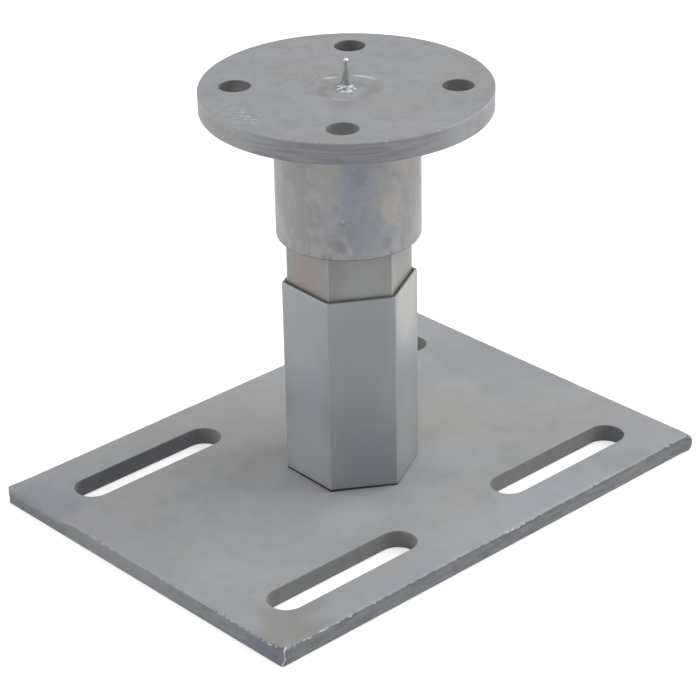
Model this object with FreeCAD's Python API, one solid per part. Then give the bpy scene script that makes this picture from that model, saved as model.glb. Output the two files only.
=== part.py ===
import FreeCAD, Part
import math
import os

# Adjustable post base: a slotted base plate, a hexagon nut threaded left and right
# that lifts the head, and a round head plate for the end of a timber post.
# Millimetres. Origin at the centre of the plate's underside, +Z up, +X along the slots.

# Base plate
plate_length = 240.0
plate_width = 175.0
plate_thickness = 8.0
plate_rollover = 1.2
slot_length = 77.0
slot_width = 16.0
slot_margin = 18.0

# Spindles: the lower one right-handed, the upper one left-handed
spindle_diameter = 30.0
spindle_reach = 70.0
spindle_chamfer = 2.0
spindle_recess = 4.0

# Adjusting nut, shown as far up both spindles as it stands in this pose
nut_across_flats = 46.0
nut_edge_radius = 0.6
nut_length = 134.3
nut_thread_length = 40.0
nut_standoff = 15.0
nut_face_share = 0.97
nut_chamfer_angle = 30.0
nut_countersink = 1.5
thread_clearance = 0.05
relief_clearance = 0.75
hexagon_turn = -2.3

# Hexagonal cover tube over the lower spindle
cover_wall = 1.5
cover_bend_radius = 1.0
cover_inner_bend = 0.3
cover_length = 88.0
cover_play = 0.5
cover_gap = 0.7

# Head plate and the sleeve under it
head_diameter = 120.0
head_thickness = 9.0
head_rollover = 0.8
head_hole_circle = 90.0
head_hole_diameter = 13.0
head_hole_count = 4
head_hole_angle = 45.0
sleeve_wall = 2.9
sleeve_length = 55.0
sleeve_play = 0.79
sleeve_rim_break = 0.5

# Welds, and the spike that centres the post
spindle_weld_leg = 4.0
sleeve_weld_leg = 3.0
plug_weld_flush = 0.2
plug_weld_crown = 0.6
spike_height = 11.7
spike_foot_diameter = 3.7
spike_tip_diameter = 1.7
spike_weld_diameter = 9.0
spike_weld_height = 0.8

# Heights that follow from the sizes above
plate_top = plate_thickness
nut_bottom = plate_top + nut_standoff
nut_top = nut_bottom + nut_length
head_bottom = nut_top + nut_standoff
head_top = head_bottom + head_thickness
cover_bottom = plate_top + cover_gap
sleeve_bottom = head_bottom - sleeve_length

# Radii and widths that follow from the sizes above
HEXAGON_CORNER = 2.0 / math.sqrt(3.0)
spindle_radius = spindle_diameter / 2
nut_corner_radius = (nut_across_flats / 2 - nut_edge_radius) * HEXAGON_CORNER + nut_edge_radius
cover_inner_flats = nut_across_flats + 2 * cover_play
cover_outer_flats = cover_inner_flats + 2 * cover_wall
sleeve_bore_radius = nut_corner_radius + sleeve_play
sleeve_radius = sleeve_bore_radius + sleeve_wall
AXIS = FreeCAD.Vector(0, 0, 1)
TOLERANCE = 1e-6


def cylinder(radius, bottom, top, x=0.0, y=0.0):
    """An upright cylinder between two heights."""
    return Part.makeCylinder(radius, top - bottom, FreeCAD.Vector(x, y, bottom), AXIS)


def revolved(wire):
    """A solid of revolution about Z from a closed wire in the XZ plane."""
    return Part.Face(wire).revolve(FreeCAD.Vector(0, 0, 0), AXIS, 360)


def turned(outline):
    """A solid of revolution about Z from an outline of (radius, height) points."""
    points = [FreeCAD.Vector(radius, 0, height) for radius, height in outline]
    return revolved(Part.makePolygon(points + points[:1]))


def upright_edges(shape):
    """The straight edges that run parallel to Z."""
    return [edge for edge in shape.Edges
            if edge.Curve.TypeId == "Part::GeomLine" and abs(abs(edge.Curve.Direction.z) - 1) < TOLERANCE]


def hexagon_bar(across_flats, edge_radius, bottom, top):
    """A hexagonal prism with rounded upright edges, turned to the pose of the nut."""
    corner = across_flats / 2 * HEXAGON_CORNER
    angles = [math.radians(hexagon_turn + 30 + 60 * side) for side in range(6)]
    points = [FreeCAD.Vector(corner * math.cos(a), corner * math.sin(a), bottom) for a in angles]
    prism = Part.Face(Part.makePolygon(points + points[:1])).extrude(AXIS * (top - bottom))
    return prism.makeFillet(edge_radius, upright_edges(prism))


def slot(x, y):
    """The tool that cuts one round-ended slot along X through the base plate."""
    half_run = (slot_length - slot_width) / 2
    run = Part.makeBox(2 * half_run, slot_width, plate_thickness,
                       FreeCAD.Vector(x - half_run, y - slot_width / 2, 0))
    ends = [cylinder(slot_width / 2, 0, plate_top, x + side * half_run, y) for side in (-1, 1)]
    return run.fuse(ends).removeSplitter()


def base_plate():
    """The sheared plate, with its rolled-over top edge, four slots and the spindle's hole."""
    corner = FreeCAD.Vector(-plate_length / 2, -plate_width / 2, 0)
    plate = Part.makeBox(plate_length, plate_width, plate_thickness, corner)
    rim = [edge for edge in plate.Edges
           if all(abs(vertex.Z - plate_top) < TOLERANCE for vertex in edge.Vertexes)]
    plate = plate.makeFillet(plate_rollover, rim)
    slot_x = plate_length / 2 - slot_margin - slot_length / 2
    slot_y = plate_width / 2 - slot_margin - slot_width / 2
    cuts = [slot(side_x * slot_x, side_y * slot_y) for side_x in (-1, 1) for side_y in (-1, 1)]
    cuts.append(cylinder(spindle_radius, 0, plate_top))
    return plate.cut(cuts)


def spindle(welded_end, free_end):
    """A threaded rod, modelled to its crests, from its welded end to its chamfered free end."""
    shoulder = free_end - math.copysign(spindle_chamfer, free_end - welded_end)
    return turned([(0, welded_end), (spindle_radius, welded_end), (spindle_radius, shoulder),
                   (spindle_radius - spindle_chamfer, free_end), (0, free_end)])


def lower_plug_weld():
    """Weld that fills the hole under the lower spindle, ground just short of the underside."""
    return cylinder(spindle_radius, plug_weld_flush, spindle_recess)


def lower_fillet_weld():
    """The bead round the lower spindle on the plate, hidden inside the cover tube."""
    return turned([(spindle_radius, plate_top), (spindle_radius + spindle_weld_leg, plate_top),
                   (spindle_radius, plate_top + spindle_weld_leg)])


def adjusting_nut():
    """The long hexagon nut: threaded at both ends, relieved between, its ends chamfered."""
    bar = hexagon_bar(nut_across_flats, nut_edge_radius, nut_bottom, nut_top)
    face_radius = nut_across_flats / 2 * nut_face_share
    slope = math.tan(math.radians(nut_chamfer_angle))
    blank_radius = nut_corner_radius + nut_edge_radius
    chamfer = (blank_radius - face_radius) * slope
    blank = turned([(0, nut_bottom), (face_radius, nut_bottom),
                    (blank_radius, nut_bottom + chamfer),
                    (blank_radius, nut_top - chamfer),
                    (face_radius, nut_top), (0, nut_top)])
    thread = spindle_radius + thread_clearance
    relief = spindle_radius + relief_clearance
    mouth = thread + nut_countersink
    bore = turned([(0, nut_bottom), (mouth, nut_bottom), (thread, nut_bottom + nut_countersink),
                   (thread, nut_bottom + nut_thread_length), (relief, nut_bottom + nut_thread_length),
                   (relief, nut_top - nut_thread_length), (thread, nut_top - nut_thread_length),
                   (thread, nut_top - nut_countersink), (mouth, nut_top), (0, nut_top)])
    return bar.common(blank).cut(bore)


def cover_tube():
    """The folded hexagonal tube that stands on the plate and turns with the nut."""
    top = cover_bottom + cover_length
    outside = hexagon_bar(cover_outer_flats, cover_bend_radius, cover_bottom, top)
    inside = hexagon_bar(cover_inner_flats, cover_inner_bend, cover_bottom, top)
    return outside.cut(inside)


def head_plate():
    """The round plate, punched from above, with four post screw holes and the spindle's hole."""
    plate = cylinder(head_diameter / 2, head_bottom, head_top)
    rim = [edge for edge in plate.Edges
           if all(abs(vertex.Z - head_bottom) < TOLERANCE for vertex in edge.Vertexes)]
    plate = plate.makeFillet(head_rollover, rim)
    cuts = [cylinder(spindle_radius, head_bottom, head_top)]
    for number in range(head_hole_count):
        angle = math.radians(head_hole_angle + 360 / head_hole_count * number)
        cuts.append(cylinder(head_hole_diameter / 2, head_bottom, head_top,
                             head_hole_circle / 2 * math.cos(angle),
                             head_hole_circle / 2 * math.sin(angle)))
    return plate.cut(cuts)


def head_plug_weld():
    """Weld over the upper spindle's end, filling the plate's hole with a low crown."""
    bottom = head_top - spindle_recess
    crown = FreeCAD.Vector(0, 0, head_top + plug_weld_crown)
    edge = FreeCAD.Vector(spindle_radius, 0, head_top)
    curvature = (spindle_radius ** 2 + plug_weld_crown ** 2) / (2 * plug_weld_crown)
    half = math.asin(spindle_radius / curvature) / 2
    between = FreeCAD.Vector(curvature * math.sin(half), 0,
                             crown.z - curvature * (1 - math.cos(half)))
    foot = FreeCAD.Vector(spindle_radius, 0, bottom)
    centre = FreeCAD.Vector(0, 0, bottom)
    arc = Part.Arc(crown, between, edge).toShape()
    sides = [Part.makeLine(edge, foot), Part.makeLine(foot, centre), Part.makeLine(centre, crown)]
    return revolved(Part.Wire([arc] + sides))


def head_sleeve():
    """The round tube welded under the head plate, which covers the upper spindle."""
    inner, outer = sleeve_bore_radius, sleeve_radius
    return turned([(inner, sleeve_bottom), (outer - sleeve_rim_break, sleeve_bottom),
                   (outer, sleeve_bottom + sleeve_rim_break), (outer, head_bottom),
                   (inner, head_bottom)])


def sleeve_weld():
    """The bead inside the sleeve's top that holds it to the head plate."""
    inner = sleeve_bore_radius
    return turned([(inner, head_bottom), (inner, head_bottom - sleeve_weld_leg),
                   (inner - sleeve_weld_leg, head_bottom)])


def centring_spike():
    """The tapered spike that stands up from the plug weld and finds the post's centre."""
    cone = Part.makeCone(spike_foot_diameter / 2, spike_tip_diameter / 2, spike_height,
                         FreeCAD.Vector(0, 0, head_top), AXIS)
    return cone.cut(head_plug_weld())


def spike_weld():
    """The small round weld at the spike's foot, on the crown of the plug weld."""
    seat = head_top + plug_weld_crown
    width = spike_weld_diameter / 2
    radius = (width ** 2 + spike_weld_height ** 2) / (2 * spike_weld_height)
    ball = Part.makeSphere(radius, FreeCAD.Vector(0, 0, seat + spike_weld_height - radius))
    above = cylinder(width, head_top, seat + spike_weld_height)
    return ball.common(above).cut([head_plug_weld(), centring_spike()])


nodes = {
    "base_plate": base_plate(),
    "lower_spindle": spindle(spindle_recess, plate_top + spindle_reach),
    "lower_plug_weld": lower_plug_weld(),
    "lower_fillet_weld": lower_fillet_weld(),
    "cover_tube": cover_tube(),
    "adjusting_nut": adjusting_nut(),
    "head_plate": head_plate(),
    "upper_spindle": spindle(head_top - spindle_recess, head_bottom - spindle_reach),
    "head_plug_weld": head_plug_weld(),
    "head_sleeve": head_sleeve(),
    "sleeve_weld": sleeve_weld(),
    "centring_spike": centring_spike(),
    "spike_weld": spike_weld(),
}

os.makedirs("parts", exist_ok=True)
for name, shape in nodes.items():
    shape.exportStep("parts/%s.step" % name)
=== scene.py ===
import math

import bmesh
import bpy
import numpy as np
from mathutils import Matrix, Vector
from mathutils.geometry import delaunay_2d_cdt


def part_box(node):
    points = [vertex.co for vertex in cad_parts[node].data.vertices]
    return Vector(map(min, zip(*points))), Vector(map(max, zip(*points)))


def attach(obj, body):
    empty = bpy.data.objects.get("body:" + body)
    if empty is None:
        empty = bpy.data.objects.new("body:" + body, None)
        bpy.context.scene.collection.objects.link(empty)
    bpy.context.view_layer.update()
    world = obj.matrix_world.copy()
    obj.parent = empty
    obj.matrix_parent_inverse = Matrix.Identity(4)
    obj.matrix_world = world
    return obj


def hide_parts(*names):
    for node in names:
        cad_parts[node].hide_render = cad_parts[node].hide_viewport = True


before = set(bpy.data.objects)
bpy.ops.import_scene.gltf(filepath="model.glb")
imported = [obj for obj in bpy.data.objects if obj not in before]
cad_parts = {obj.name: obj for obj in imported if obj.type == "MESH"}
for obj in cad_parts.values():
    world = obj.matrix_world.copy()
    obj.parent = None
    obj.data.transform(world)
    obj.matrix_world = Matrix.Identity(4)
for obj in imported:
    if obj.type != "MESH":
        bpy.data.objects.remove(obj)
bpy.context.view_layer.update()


# Base plate: hot-rolled steel 8 mm thick, cut to size on a shear, which rolls its upper edge over
# unevenly, then punched with four slots for the anchor bolts and hot-dip galvanised, so that zinc hangs
# on the corners and edges in bright drops. Painted highlights and a painted shade line lie along its
# edges too.

MM = 0.001
PLATE_LOW, PLATE_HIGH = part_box("base_plate")
PLATE_CORNER_RADIUS = 0.5 * MM
PLATE_EDGE_SPACING = 0.5 * MM
PLATE_BOTTOM_BREAK = 0.35 * MM
PLATE_ROLL_DEPTH = 1.1 * MM
PLATE_ROLL_WAVE = 0.45 * MM
PLATE_ROLL_TEETH = 0.55 * MM
PLATE_ROLL_WIDTH = 0.8
PLATE_CUT_JAGS = 0.6 * MM
PLATE_CUT_START = 0.55
PLATE_CUT_EASE = 0.15 * MM
PLATE_FAR_SIDES_VARY = 0.3
FAR_CUT_LENGTH = 90 * MM
FAR_CUT_EASE = 0.25 * MM
PLATE_SIDE_MARGIN = 0.1 * MM
PLATE_TEAR_DEPTH = 0.22 * MM
PLATE_TEAR_SHARES = (0.5, 0.8, 1.0, 0.9, 0.6, 0, 0, 0, 0)
PLATE_TEAR_HEIGHTS = (0.22, 0.42, 0.62, 0.82, 1.0)
PLATE_FOOT_HEIGHTS = (0.12 * MM, 0.4 * MM)
PLATE_BURNISH = 4.6 * MM
PLATE_BURNISH_WAVE = 0.7 * MM
PLATE_BURNISH_CLEAR = 1.4 * MM
PLATE_SHADE_DROP = 0.5 * MM
PLATE_SHADE_WIDTH = 0.4 * MM
PLATE_SHADE_START = 25
PLATE_SHADE_EASE = 20
PLATE_SHADE = (0.128, 0.136, 0.158)
FRONT_CORNER = (-120 * MM, -87.5 * MM)
FRONT_CORNER_LEAN = 2.2 * MM
FRONT_CORNER_REACH = 5 * MM
LEFT_CORNER = (-120 * MM, 87.5 * MM)
LEFT_CORNER_REACH = 7 * MM
LEFT_ROLL_WIDER = 3.4 * MM
LEFT_ROLL_DEEPER = 0.9 * MM
LEFT_ROLL_START = 42 * MM
LEFT_ROLL_EASE = 12 * MM
LEFT_ROLL_DROP = 2.1 * MM
LEFT_CUT_EASE = 0.9 * MM
LEFT_WORN = 0.5
LEFT_WORN_DEPTH = 1.2 * MM
RIGHT_CORNER = (120 * MM, -87.5 * MM)
RIGHT_CORNER_REACH = 2.6 * MM
RIGHT_CORNER_DROOP = 2.4 * MM
RIGHT_CORNER_CRISP = 25 * MM
RIGHT_CORNER_BULGE = 1.7 * MM
SLOT_LENGTH = 77 * MM
SLOT_WIDTH = 16 * MM
SLOT_MARGIN = 18 * MM
SLOT_EDGE_BREAK = 0.45 * MM
RIM_FLAT = 0.3 * MM
SPINDLE_RADIUS = 15 * MM
ROUND_STEPS = 72
WELDED_EDGE_BREAK = 0.05 * MM
# Bright spots along the front edge, zinc flakes partly painted highlights: place in millimetres and
# brightness. Those on the left side are painted highlights.
FRONT_FLAKES_AND_HIGHLIGHTS = (
    (11.2, 0.9), (13.8, 0.95), (19.4, 0.75), (21.2, 0.95), (23, 0.85), (26.6, 0.75), (29.2, 0.95),
    (35.5, 1.1), (42, 0.75), (48.5, 0.95), (124.5, 1.0), (127.5, 1.15), (130.5, 1.15), (134, 0.95))
LEFT_EDGE_HIGHLIGHTS = ((4, 0.7), (7, 1.1), (10, 0.65), (13.3, 0.65))
EDGE_SPOT_LENGTH = 1.2
EDGE_SPOT_SLANT = 0.7
EDGE_SPOT_HEIGHT = 0.4 * MM
# Bright zinc, also the colour of painted highlights.
BRIGHT_ZINC_AND_HIGHLIGHT = (0.74, 0.76, 0.78)
ZINC_PIMPLE = (0.55, 0.56, 0.57)
PLATE_ZINC = ((0.405, 0.412, 0.422), (0.38, 0.40, 0.425), (0.40, 0.393, 0.38), (0.31, 0.318, 0.325))
PLATE_WALL = (0.235, 0.245, 0.24)
PLATE_WALL_SMUDGE = (0.15, 0.155, 0.16)
PLATE_CUT_PALE = ((0.251, 0.2695, 0.272), (0.259, 0.265, 0.288))
PLATE_CUT_DARK = ((0.191, 0.2045, 0.209), (0.199, 0.201, 0.223))
# A bright line down the front corner, partly painted highlight, widening into a zinc drop near the top:
# its sideways wander at each share of the height.
CORNER_HIGHLIGHT_PATH = ((0, 0), (0.12, -0.3), (0.34, 0.5), (0.55, 0), (0.78, -0.8), (1, 0))
CORNER_HIGHLIGHT_WIDTH = 0.28 * MM
CORNER_DROP_DEPTH = 0.7 * MM
CORNER_DROP_LENGTH = 0.8 * MM
# Patches of tone on the plate: middle in millimetres, squeeze of each axis, reach, strength and hue.
# The two pale patches in front of the tube, rows six and seven, are painted light.
PLATE_CLOUDS_AND_LIGHT = (
    ((20, -81, 8), (0.3, 1.0, 1.0), 20, 0.55, (0.40, 0.43, 0.47)),
    ((-106, -76, 8), (0.8, 1.0, 1.0), 24, 0.75, (0.29, 0.287, 0.27)),
    ((53, -3, 8), (1.0, 1.0, 1.0), 22, 0.6, (0.40, 0.39, 0.355)),
    ((-20, 55, 8), (0.8, 1.0, 1.0), 45, 0.6, (0.355, 0.352, 0.335)),
    ((112, 20, 8), (1.0, 0.7, 1.0), 36, 0.85, (0.338, 0.35, 0.364)),
    ((-32, -33, 8), (0.8, 1.0, 1.0), 18, 0.6, (0.45, 0.46, 0.48)),
    ((40, -28, 8), (0.8, 1.0, 1.0), 22, 0.6, (0.46, 0.463, 0.468)),
    ((-116, -62, 8), (1.4, 0.7, 1.0), 11, 0.6, (0.40, 0.42, 0.475)),
    ((-88, -80, 8), (0.7, 1.4, 1.0), 11, 0.5, (0.41, 0.43, 0.47)),
    ((105, -69, 8), (1.0, 1.0, 1.0), 14, 0.6, (0.375, 0.385, 0.43)),
    ((-109, 27, 8), (1.0, 0.6, 1.0), 14, 0.6, (0.385, 0.398, 0.43)),
    ((-113, 66, 8), (1.3, 0.7, 1.0), 18, 0.8, (0.325, 0.34, 0.39)),
    ((-114, -50, 8), (1.0, 1.0, 1.0), 14, 0.6, (0.345, 0.36, 0.39)),
    ((-50, -84, 8), (0.5, 1.5, 1.0), 14, 0.6, (0.365, 0.385, 0.432)),
    ((82, -82, 8), (0.8, 1.2, 1.0), 13, 0.7, (0.33, 0.348, 0.383)))
# Darker patches on slot walls, in the same columns; the first, on the far wall of the back left slot,
# is painted shade.
PLATE_WALL_CLOUDS_AND_SHADE = (
    ((-63.5, 69.5, 4), (0.2, 1.0, 1.0), 11, 1.0, (0.135, 0.142, 0.157)),
    ((101, -61.5, 4), (1.0, 1.0, 1.0), 10, 0.8, (0.165, 0.175, 0.19)))
PLATE_CUT_CLOUDS = (
    ((-120, -80, 3.5), (1.0, 0.7, 1.0), 11, 0.65, (0.165, 0.17, 0.235)),
    ((-120, 84, 3.5), (1.0, 0.7, 1.0), 46, 0.85, (0.205, 0.212, 0.225)),
    ((-120, 8, 3.5), (1.0, 0.8, 1.0), 40, 0.8, (0.285, 0.293, 0.304)),
    ((84, -87.5, 2.5), (0.7, 1.0, 1.0), 11, 0.7, (0.268, 0.268, 0.257)))


def wrapped(rows, marks=None, close_rows=False):
    """A band of points closed round each row, as a patch: the points, the four-sided faces
    between neighbours, numbered row by row, and the points' marks. The faces point outwards
    where the rows run anticlockwise and follow each other upwards."""
    number = np.arange(rows.shape[0] * rows.shape[1]).reshape(rows.shape[:2])
    if close_rows:
        number = np.vstack([number, number[:1]])
    number = np.hstack([number, number[:, :1]])
    corners = [number[:-1, :-1], number[:-1, 1:], number[1:, 1:], number[1:, :-1]]
    return rows, np.stack(corners, axis=-1).reshape(-1, 4), marks or {}


def carried(path, away, offset, height):
    """A profile carried round a path: the path's point, plus its outward direction times the
    profile's offset, at the profile's height. Offset and height may vary along the path."""
    shape = np.broadcast_shapes(np.shape(offset), np.shape(height), (1, len(path)))
    offset = np.broadcast_to(offset, shape)
    height = np.broadcast_to(height, shape)
    return np.dstack([path[None] + away[None] * offset[..., None], height])


def column(values):
    """A list of numbers as an upright array, one row of the profile each."""
    return np.array(values, dtype=float)[:, None]


def bracelet(share, lowest, highest, seed):
    """A smooth random wave round a closed path, from -1 to 1. It is the sum of cosines of every
    whole number of waves between two, with random starts and sizes that fall as it rises."""
    draw = np.random.default_rng(seed)
    waves = np.arange(lowest, highest)[:, None]
    start = draw.uniform(0, 2 * math.pi, waves.shape)
    size = draw.uniform(0.5, 1.0, waves.shape) / np.sqrt(waves)
    wave = (size * np.cos(2 * math.pi * waves * share + start)).sum(axis=0)
    return wave / np.abs(wave).max()


def within(points, ring):
    """True for the points inside a closed ring: a line drawn to the right from each of them
    crosses the ring's sides an odd number of times."""
    x, y = points[:, :1], points[:, 1:2]
    ax, ay = ring[:, 0], ring[:, 1]
    bx, by = np.roll(ax, -1), np.roll(ay, -1)
    spans = (ay > y) != (by > y)
    crossing = ax + (y - ay) * (bx - ax) / np.where(by == ay, 1.0, by - ay)
    return (spans & (x < crossing)).sum(axis=1) % 2 == 1


def flat_face(rings, spacing, upward):
    """A flat face between an outer ring and the rings of its openings: the rings' points and a
    square lattice between them, joined by constrained triangles."""
    outline, openings = rings[0], rings[1:]
    low, high = outline[:, :2].min(axis=0), outline[:, :2].max(axis=0)
    steps = [np.arange(start + spacing, end, spacing) for start, end in zip(low, high)]
    lattice = np.stack(np.meshgrid(*steps), -1).reshape(-1, 2)
    border = np.vstack(rings)[:, :2]
    gap = np.linalg.norm(lattice[:, None] - border[None], axis=2).min(axis=1)
    clear = gap > spacing / 2
    keep = clear & within(lattice, outline) & ~np.any([within(lattice, o) for o in openings], axis=0)
    points = np.vstack([border, lattice[keep]])
    starts = np.cumsum([0] + [len(ring) for ring in rings])
    sides = [np.stack([np.arange(len(ring)), np.roll(np.arange(len(ring)), -1)], -1) + start
             for ring, start in zip(rings, starts)]
    made = delaunay_2d_cdt(points.tolist(), np.vstack(sides).tolist(), [], 0, 1e-9, False)
    flat = np.array(made[0])
    faces = np.array(made[2])
    middle = flat[faces].mean(axis=1)
    faces = faces[within(middle, outline) & ~np.any([within(middle, o) for o in openings], axis=0)]
    height = np.full(len(flat), outline[0, 2])
    return np.column_stack([flat, height]), faces if upward else faces[:, ::-1], {}


MARKS = ("sheared_edge", "punched_wall_and_shade", "edge_shadow", "bright_zinc_and_highlight")


def piece(name, patches, body, *nodes, crease=32):
    """One closed mesh from patches of points, faces and marks, whose shared edges are merged.
    The marks say how far each point is a sheared edge, a punched wall (also used for painted shade),
    the painted shade under a rim, and bright zinc (also used for painted highlights)."""
    points, faces, marks, count = [], [], {mark: [] for mark in MARKS}, 0
    for spots, sides, amounts in patches:
        points.append(spots.reshape(-1, 3))
        faces.extend((sides + count).tolist())
        for mark in MARKS:
            marks[mark].append(np.broadcast_to(amounts.get(mark, 0.0), spots.shape[:-1]).reshape(-1))
        count += len(points[-1])
    mesh = bpy.data.meshes.new(name)
    mesh.from_pydata(np.vstack(points).tolist(), [], faces)
    for mark, amounts in marks.items():
        mesh.attributes.new(mark, "FLOAT", "POINT").data.foreach_set("value", np.concatenate(amounts))
    merged = bmesh.new()
    merged.from_mesh(mesh)
    bmesh.ops.remove_doubles(merged, verts=merged.verts, dist=1e-6)
    bmesh.ops.dissolve_degenerate(merged, edges=merged.edges, dist=1e-7)
    merged.to_mesh(mesh)
    merged.free()
    mesh.shade_smooth()
    mesh.set_sharp_from_angle(angle=math.radians(crease))
    made = bpy.data.objects.new(name, mesh)
    bpy.context.scene.collection.objects.link(made)
    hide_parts(*nodes)
    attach(made, body)
    return made


def sheared_path():
    """The plate's outline with small corner arcs, anticlockwise from the front left corner.
    The second array is how far each point moves in for one unit of inset: the corner arcs
    keep their radius, and the points of a side draw together as the rectangle shrinks."""
    half = np.array([PLATE_HIGH[0] - PLATE_LOW[0], PLATE_HIGH[1] - PLATE_LOW[1]]) / 2
    steps = (2 * half / PLATE_EDGE_SPACING).astype(int)
    share, normal = [], []
    for quarter in range(4):
        along = quarter % 2
        turn = quarter * math.pi / 2 - math.pi / 2
        out = np.array([round(math.cos(turn)), round(math.sin(turn))])
        onward = np.array([-out[1], out[0]])
        run = np.linspace(-1, 1, steps[along])[:, None]
        share.append(out + run * onward)
        normal.append(np.broadcast_to(out, share[-1].shape))
        arc = turn + np.linspace(0, math.pi / 2, 7)[1:-1]
        share.append(np.broadcast_to(out + onward, (len(arc), 2)))
        normal.append(np.column_stack([np.cos(arc), np.sin(arc)]))
    share, normal = np.vstack(share), np.vstack(normal)
    return share * (half - PLATE_CORNER_RADIUS) + normal * PLATE_CORNER_RADIUS, share


def slot_path(x, y, steps=24):
    """A slot's outline, anticlockwise: two half circles, joined by the straight sides."""
    turn = np.linspace(-math.pi / 2, math.pi / 2, steps)
    turn = np.concatenate([turn, turn + math.pi])
    away = np.column_stack([np.cos(turn), np.sin(turn)])
    half_run = (SLOT_LENGTH - SLOT_WIDTH) / 2
    centre = np.column_stack([x + half_run * np.sign(np.cos(turn)), np.full_like(turn, y)])
    centre[[0, steps - 1], 0] = x + half_run
    centre[[steps, -1], 0] = x - half_run
    return centre + away * SLOT_WIDTH / 2, away


def turns(steps):
    """That many directions, anticlockwise, at equal angles that add up to a full turn."""
    return np.arange(steps) * 2 * math.pi / steps


def ring_path(radius, steps, x=0.0, y=0.0):
    """A circle's points, anticlockwise, and their outward directions: the cosine and the sine of
    each direction, which the radius lengthens and the middle moves."""
    turn = turns(steps)
    away = np.column_stack([np.cos(turn), np.sin(turn)])
    return np.array([x, y]) + away * radius, away


def opening(path, away, low, high, edge_break):
    """The wall of an opening, from its upper rim down to its lower one, with both rims broken by
    a quarter circle and a narrow flat ring beside it. Also gives how far each point is cut face."""
    curl = np.linspace(0, math.pi / 2, 5)
    offset = np.concatenate([[edge_break + RIM_FLAT], edge_break * (1 - np.sin(curl))])
    drop = np.concatenate([[0], edge_break * (1 - np.cos(curl))])
    offsets = column(np.concatenate([offset, [0, 0], offset[::-1]]))
    thirds = [high - (high - low) / 3, low + (high - low) / 3]
    heights = column(np.concatenate([high - drop, thirds, low + drop[::-1]]))
    wall = carried(path, away, offsets, heights)
    cut = np.clip(2 - offsets / edge_break * 2.5, 0, 1) * np.ones(len(path))
    return wall, cut


def pierced(rim, marks, openings, spacing):
    """The patches of a flat plate: its rim with the rim's marks, the walls of its openings, and
    the upper and lower faces between them."""
    sides = [wrapped(rim, marks)]
    sides += [wrapped(wall, {"punched_wall_and_shade": cut}) for wall, cut in openings]
    upper = flat_face([rim[-1]] + [wall[0] for wall, cut in openings], spacing, True)
    lower = flat_face([rim[0]] + [wall[-1] for wall, cut in openings], spacing, False)
    return sides + [upper, lower]


def bell(gap, width):
    """1 where the gap is nought, falling off on both sides as the exponential of minus its
    square, with the gap counted in widths."""
    return np.exp(-(gap / width) ** 2)


def beside(corner, reach):
    """The bell of each outline point's distance from a corner of the plate."""
    return np.exp(-np.sum((plate_path - corner) ** 2, axis=1) / reach ** 2)


def bright_spots_along(run, flakes_and_highlights, slant):
    """Bright spots along a side, zinc flakes and painted highlights: a bell at each one's place, times
    its own brightness.
    """
    return sum(shine * bell(run - place - slant, EDGE_SPOT_LENGTH) for place, shine in flakes_and_highlights)


plate_top, plate_bottom = PLATE_HIGH[2], PLATE_LOW[2]
plate_path, plate_share = sheared_path()
plate_round = np.linspace(0, 1, len(plate_path), endpoint=False)
front_run = (plate_path[:, 0] - PLATE_LOW[0]) / MM
left_run = (plate_path[:, 1] - PLATE_LOW[1]) / MM
on_front = plate_path[:, 1] < PLATE_LOW[1] + PLATE_SIDE_MARGIN
on_left = plate_path[:, 0] < PLATE_LOW[0] + PLATE_SIDE_MARGIN
at_front = beside(FRONT_CORNER, FRONT_CORNER_REACH)
at_left = beside(LEFT_CORNER, LEFT_CORNER_REACH)
at_right = beside(RIGHT_CORNER, RIGHT_CORNER_REACH)
near_right = beside(RIGHT_CORNER, RIGHT_CORNER_CRISP)
soft_left = on_left * np.clip((plate_path[:, 1] - LEFT_ROLL_START) / LEFT_ROLL_EASE, 0, 1)
near_left = soft_left * (1 - 0.7 * at_left)

# How deep and wide the shear rolled the upper edge over, wavy and toothed along the sides.
varies = np.where(on_front | on_left, 1.0, PLATE_FAR_SIDES_VARY)
roll = PLATE_ROLL_DEPTH + varies * (PLATE_ROLL_WAVE * bracelet(plate_round, 5, 40, 3)
                                    + PLATE_ROLL_TEETH * bracelet(plate_round, 50, 320, 4))
roll = roll * (1 - 0.75 * at_left) * (1 - 0.6 * near_right)
roll_depth = roll + RIGHT_CORNER_DROOP * at_right + LEFT_ROLL_DEEPER * near_left
roll_width = PLATE_ROLL_WIDTH * roll + 0.25 * RIGHT_CORNER_DROOP * at_right
roll_width = roll_width + LEFT_ROLL_WIDER * near_left

# The rim from the bottom up: broken edge, torn and burnished cut face, quarter ellipse.
tear = PLATE_TEAR_DEPTH * (0.5 + 0.5 * bracelet(plate_round, 40, 400, 5))
burnish = PLATE_BURNISH + PLATE_BURNISH_WAVE * bracelet(plate_round, 12, 120, 6)
burnish = np.minimum(burnish, plate_top - roll_depth - PLATE_BURNISH_CLEAR)
roll_turn = np.linspace(0.15, 1, 6)[:, None] * math.pi / 2
rim_inset = np.vstack([
    np.full_like(tear, PLATE_BOTTOM_BREAK + RIM_FLAT), np.full_like(tear, PLATE_BOTTOM_BREAK),
    0.1 * MM + tear * 0.3, column(PLATE_TEAR_SHARES) * tear,
    roll_width * (1 - np.cos(roll_turn)), roll_width + RIM_FLAT])
rim_height = np.vstack([
    np.full_like(tear, plate_bottom), np.full_like(tear, plate_bottom),
    column(PLATE_FOOT_HEIGHTS) + 0 * tear, column(PLATE_TEAR_HEIGHTS) * burnish,
    plate_top - roll_depth - column([1.0, 0.5, 0]) * MM,
    plate_top - roll_depth * (1 - np.sin(roll_turn)), np.full_like(tear, plate_top)])
plate_rim = carried(plate_path, plate_share, -rim_inset, rim_height)
rise = rim_height / plate_top
plate_rim[..., 0] += FRONT_CORNER_LEAN * at_front * rise ** 0.7
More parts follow.
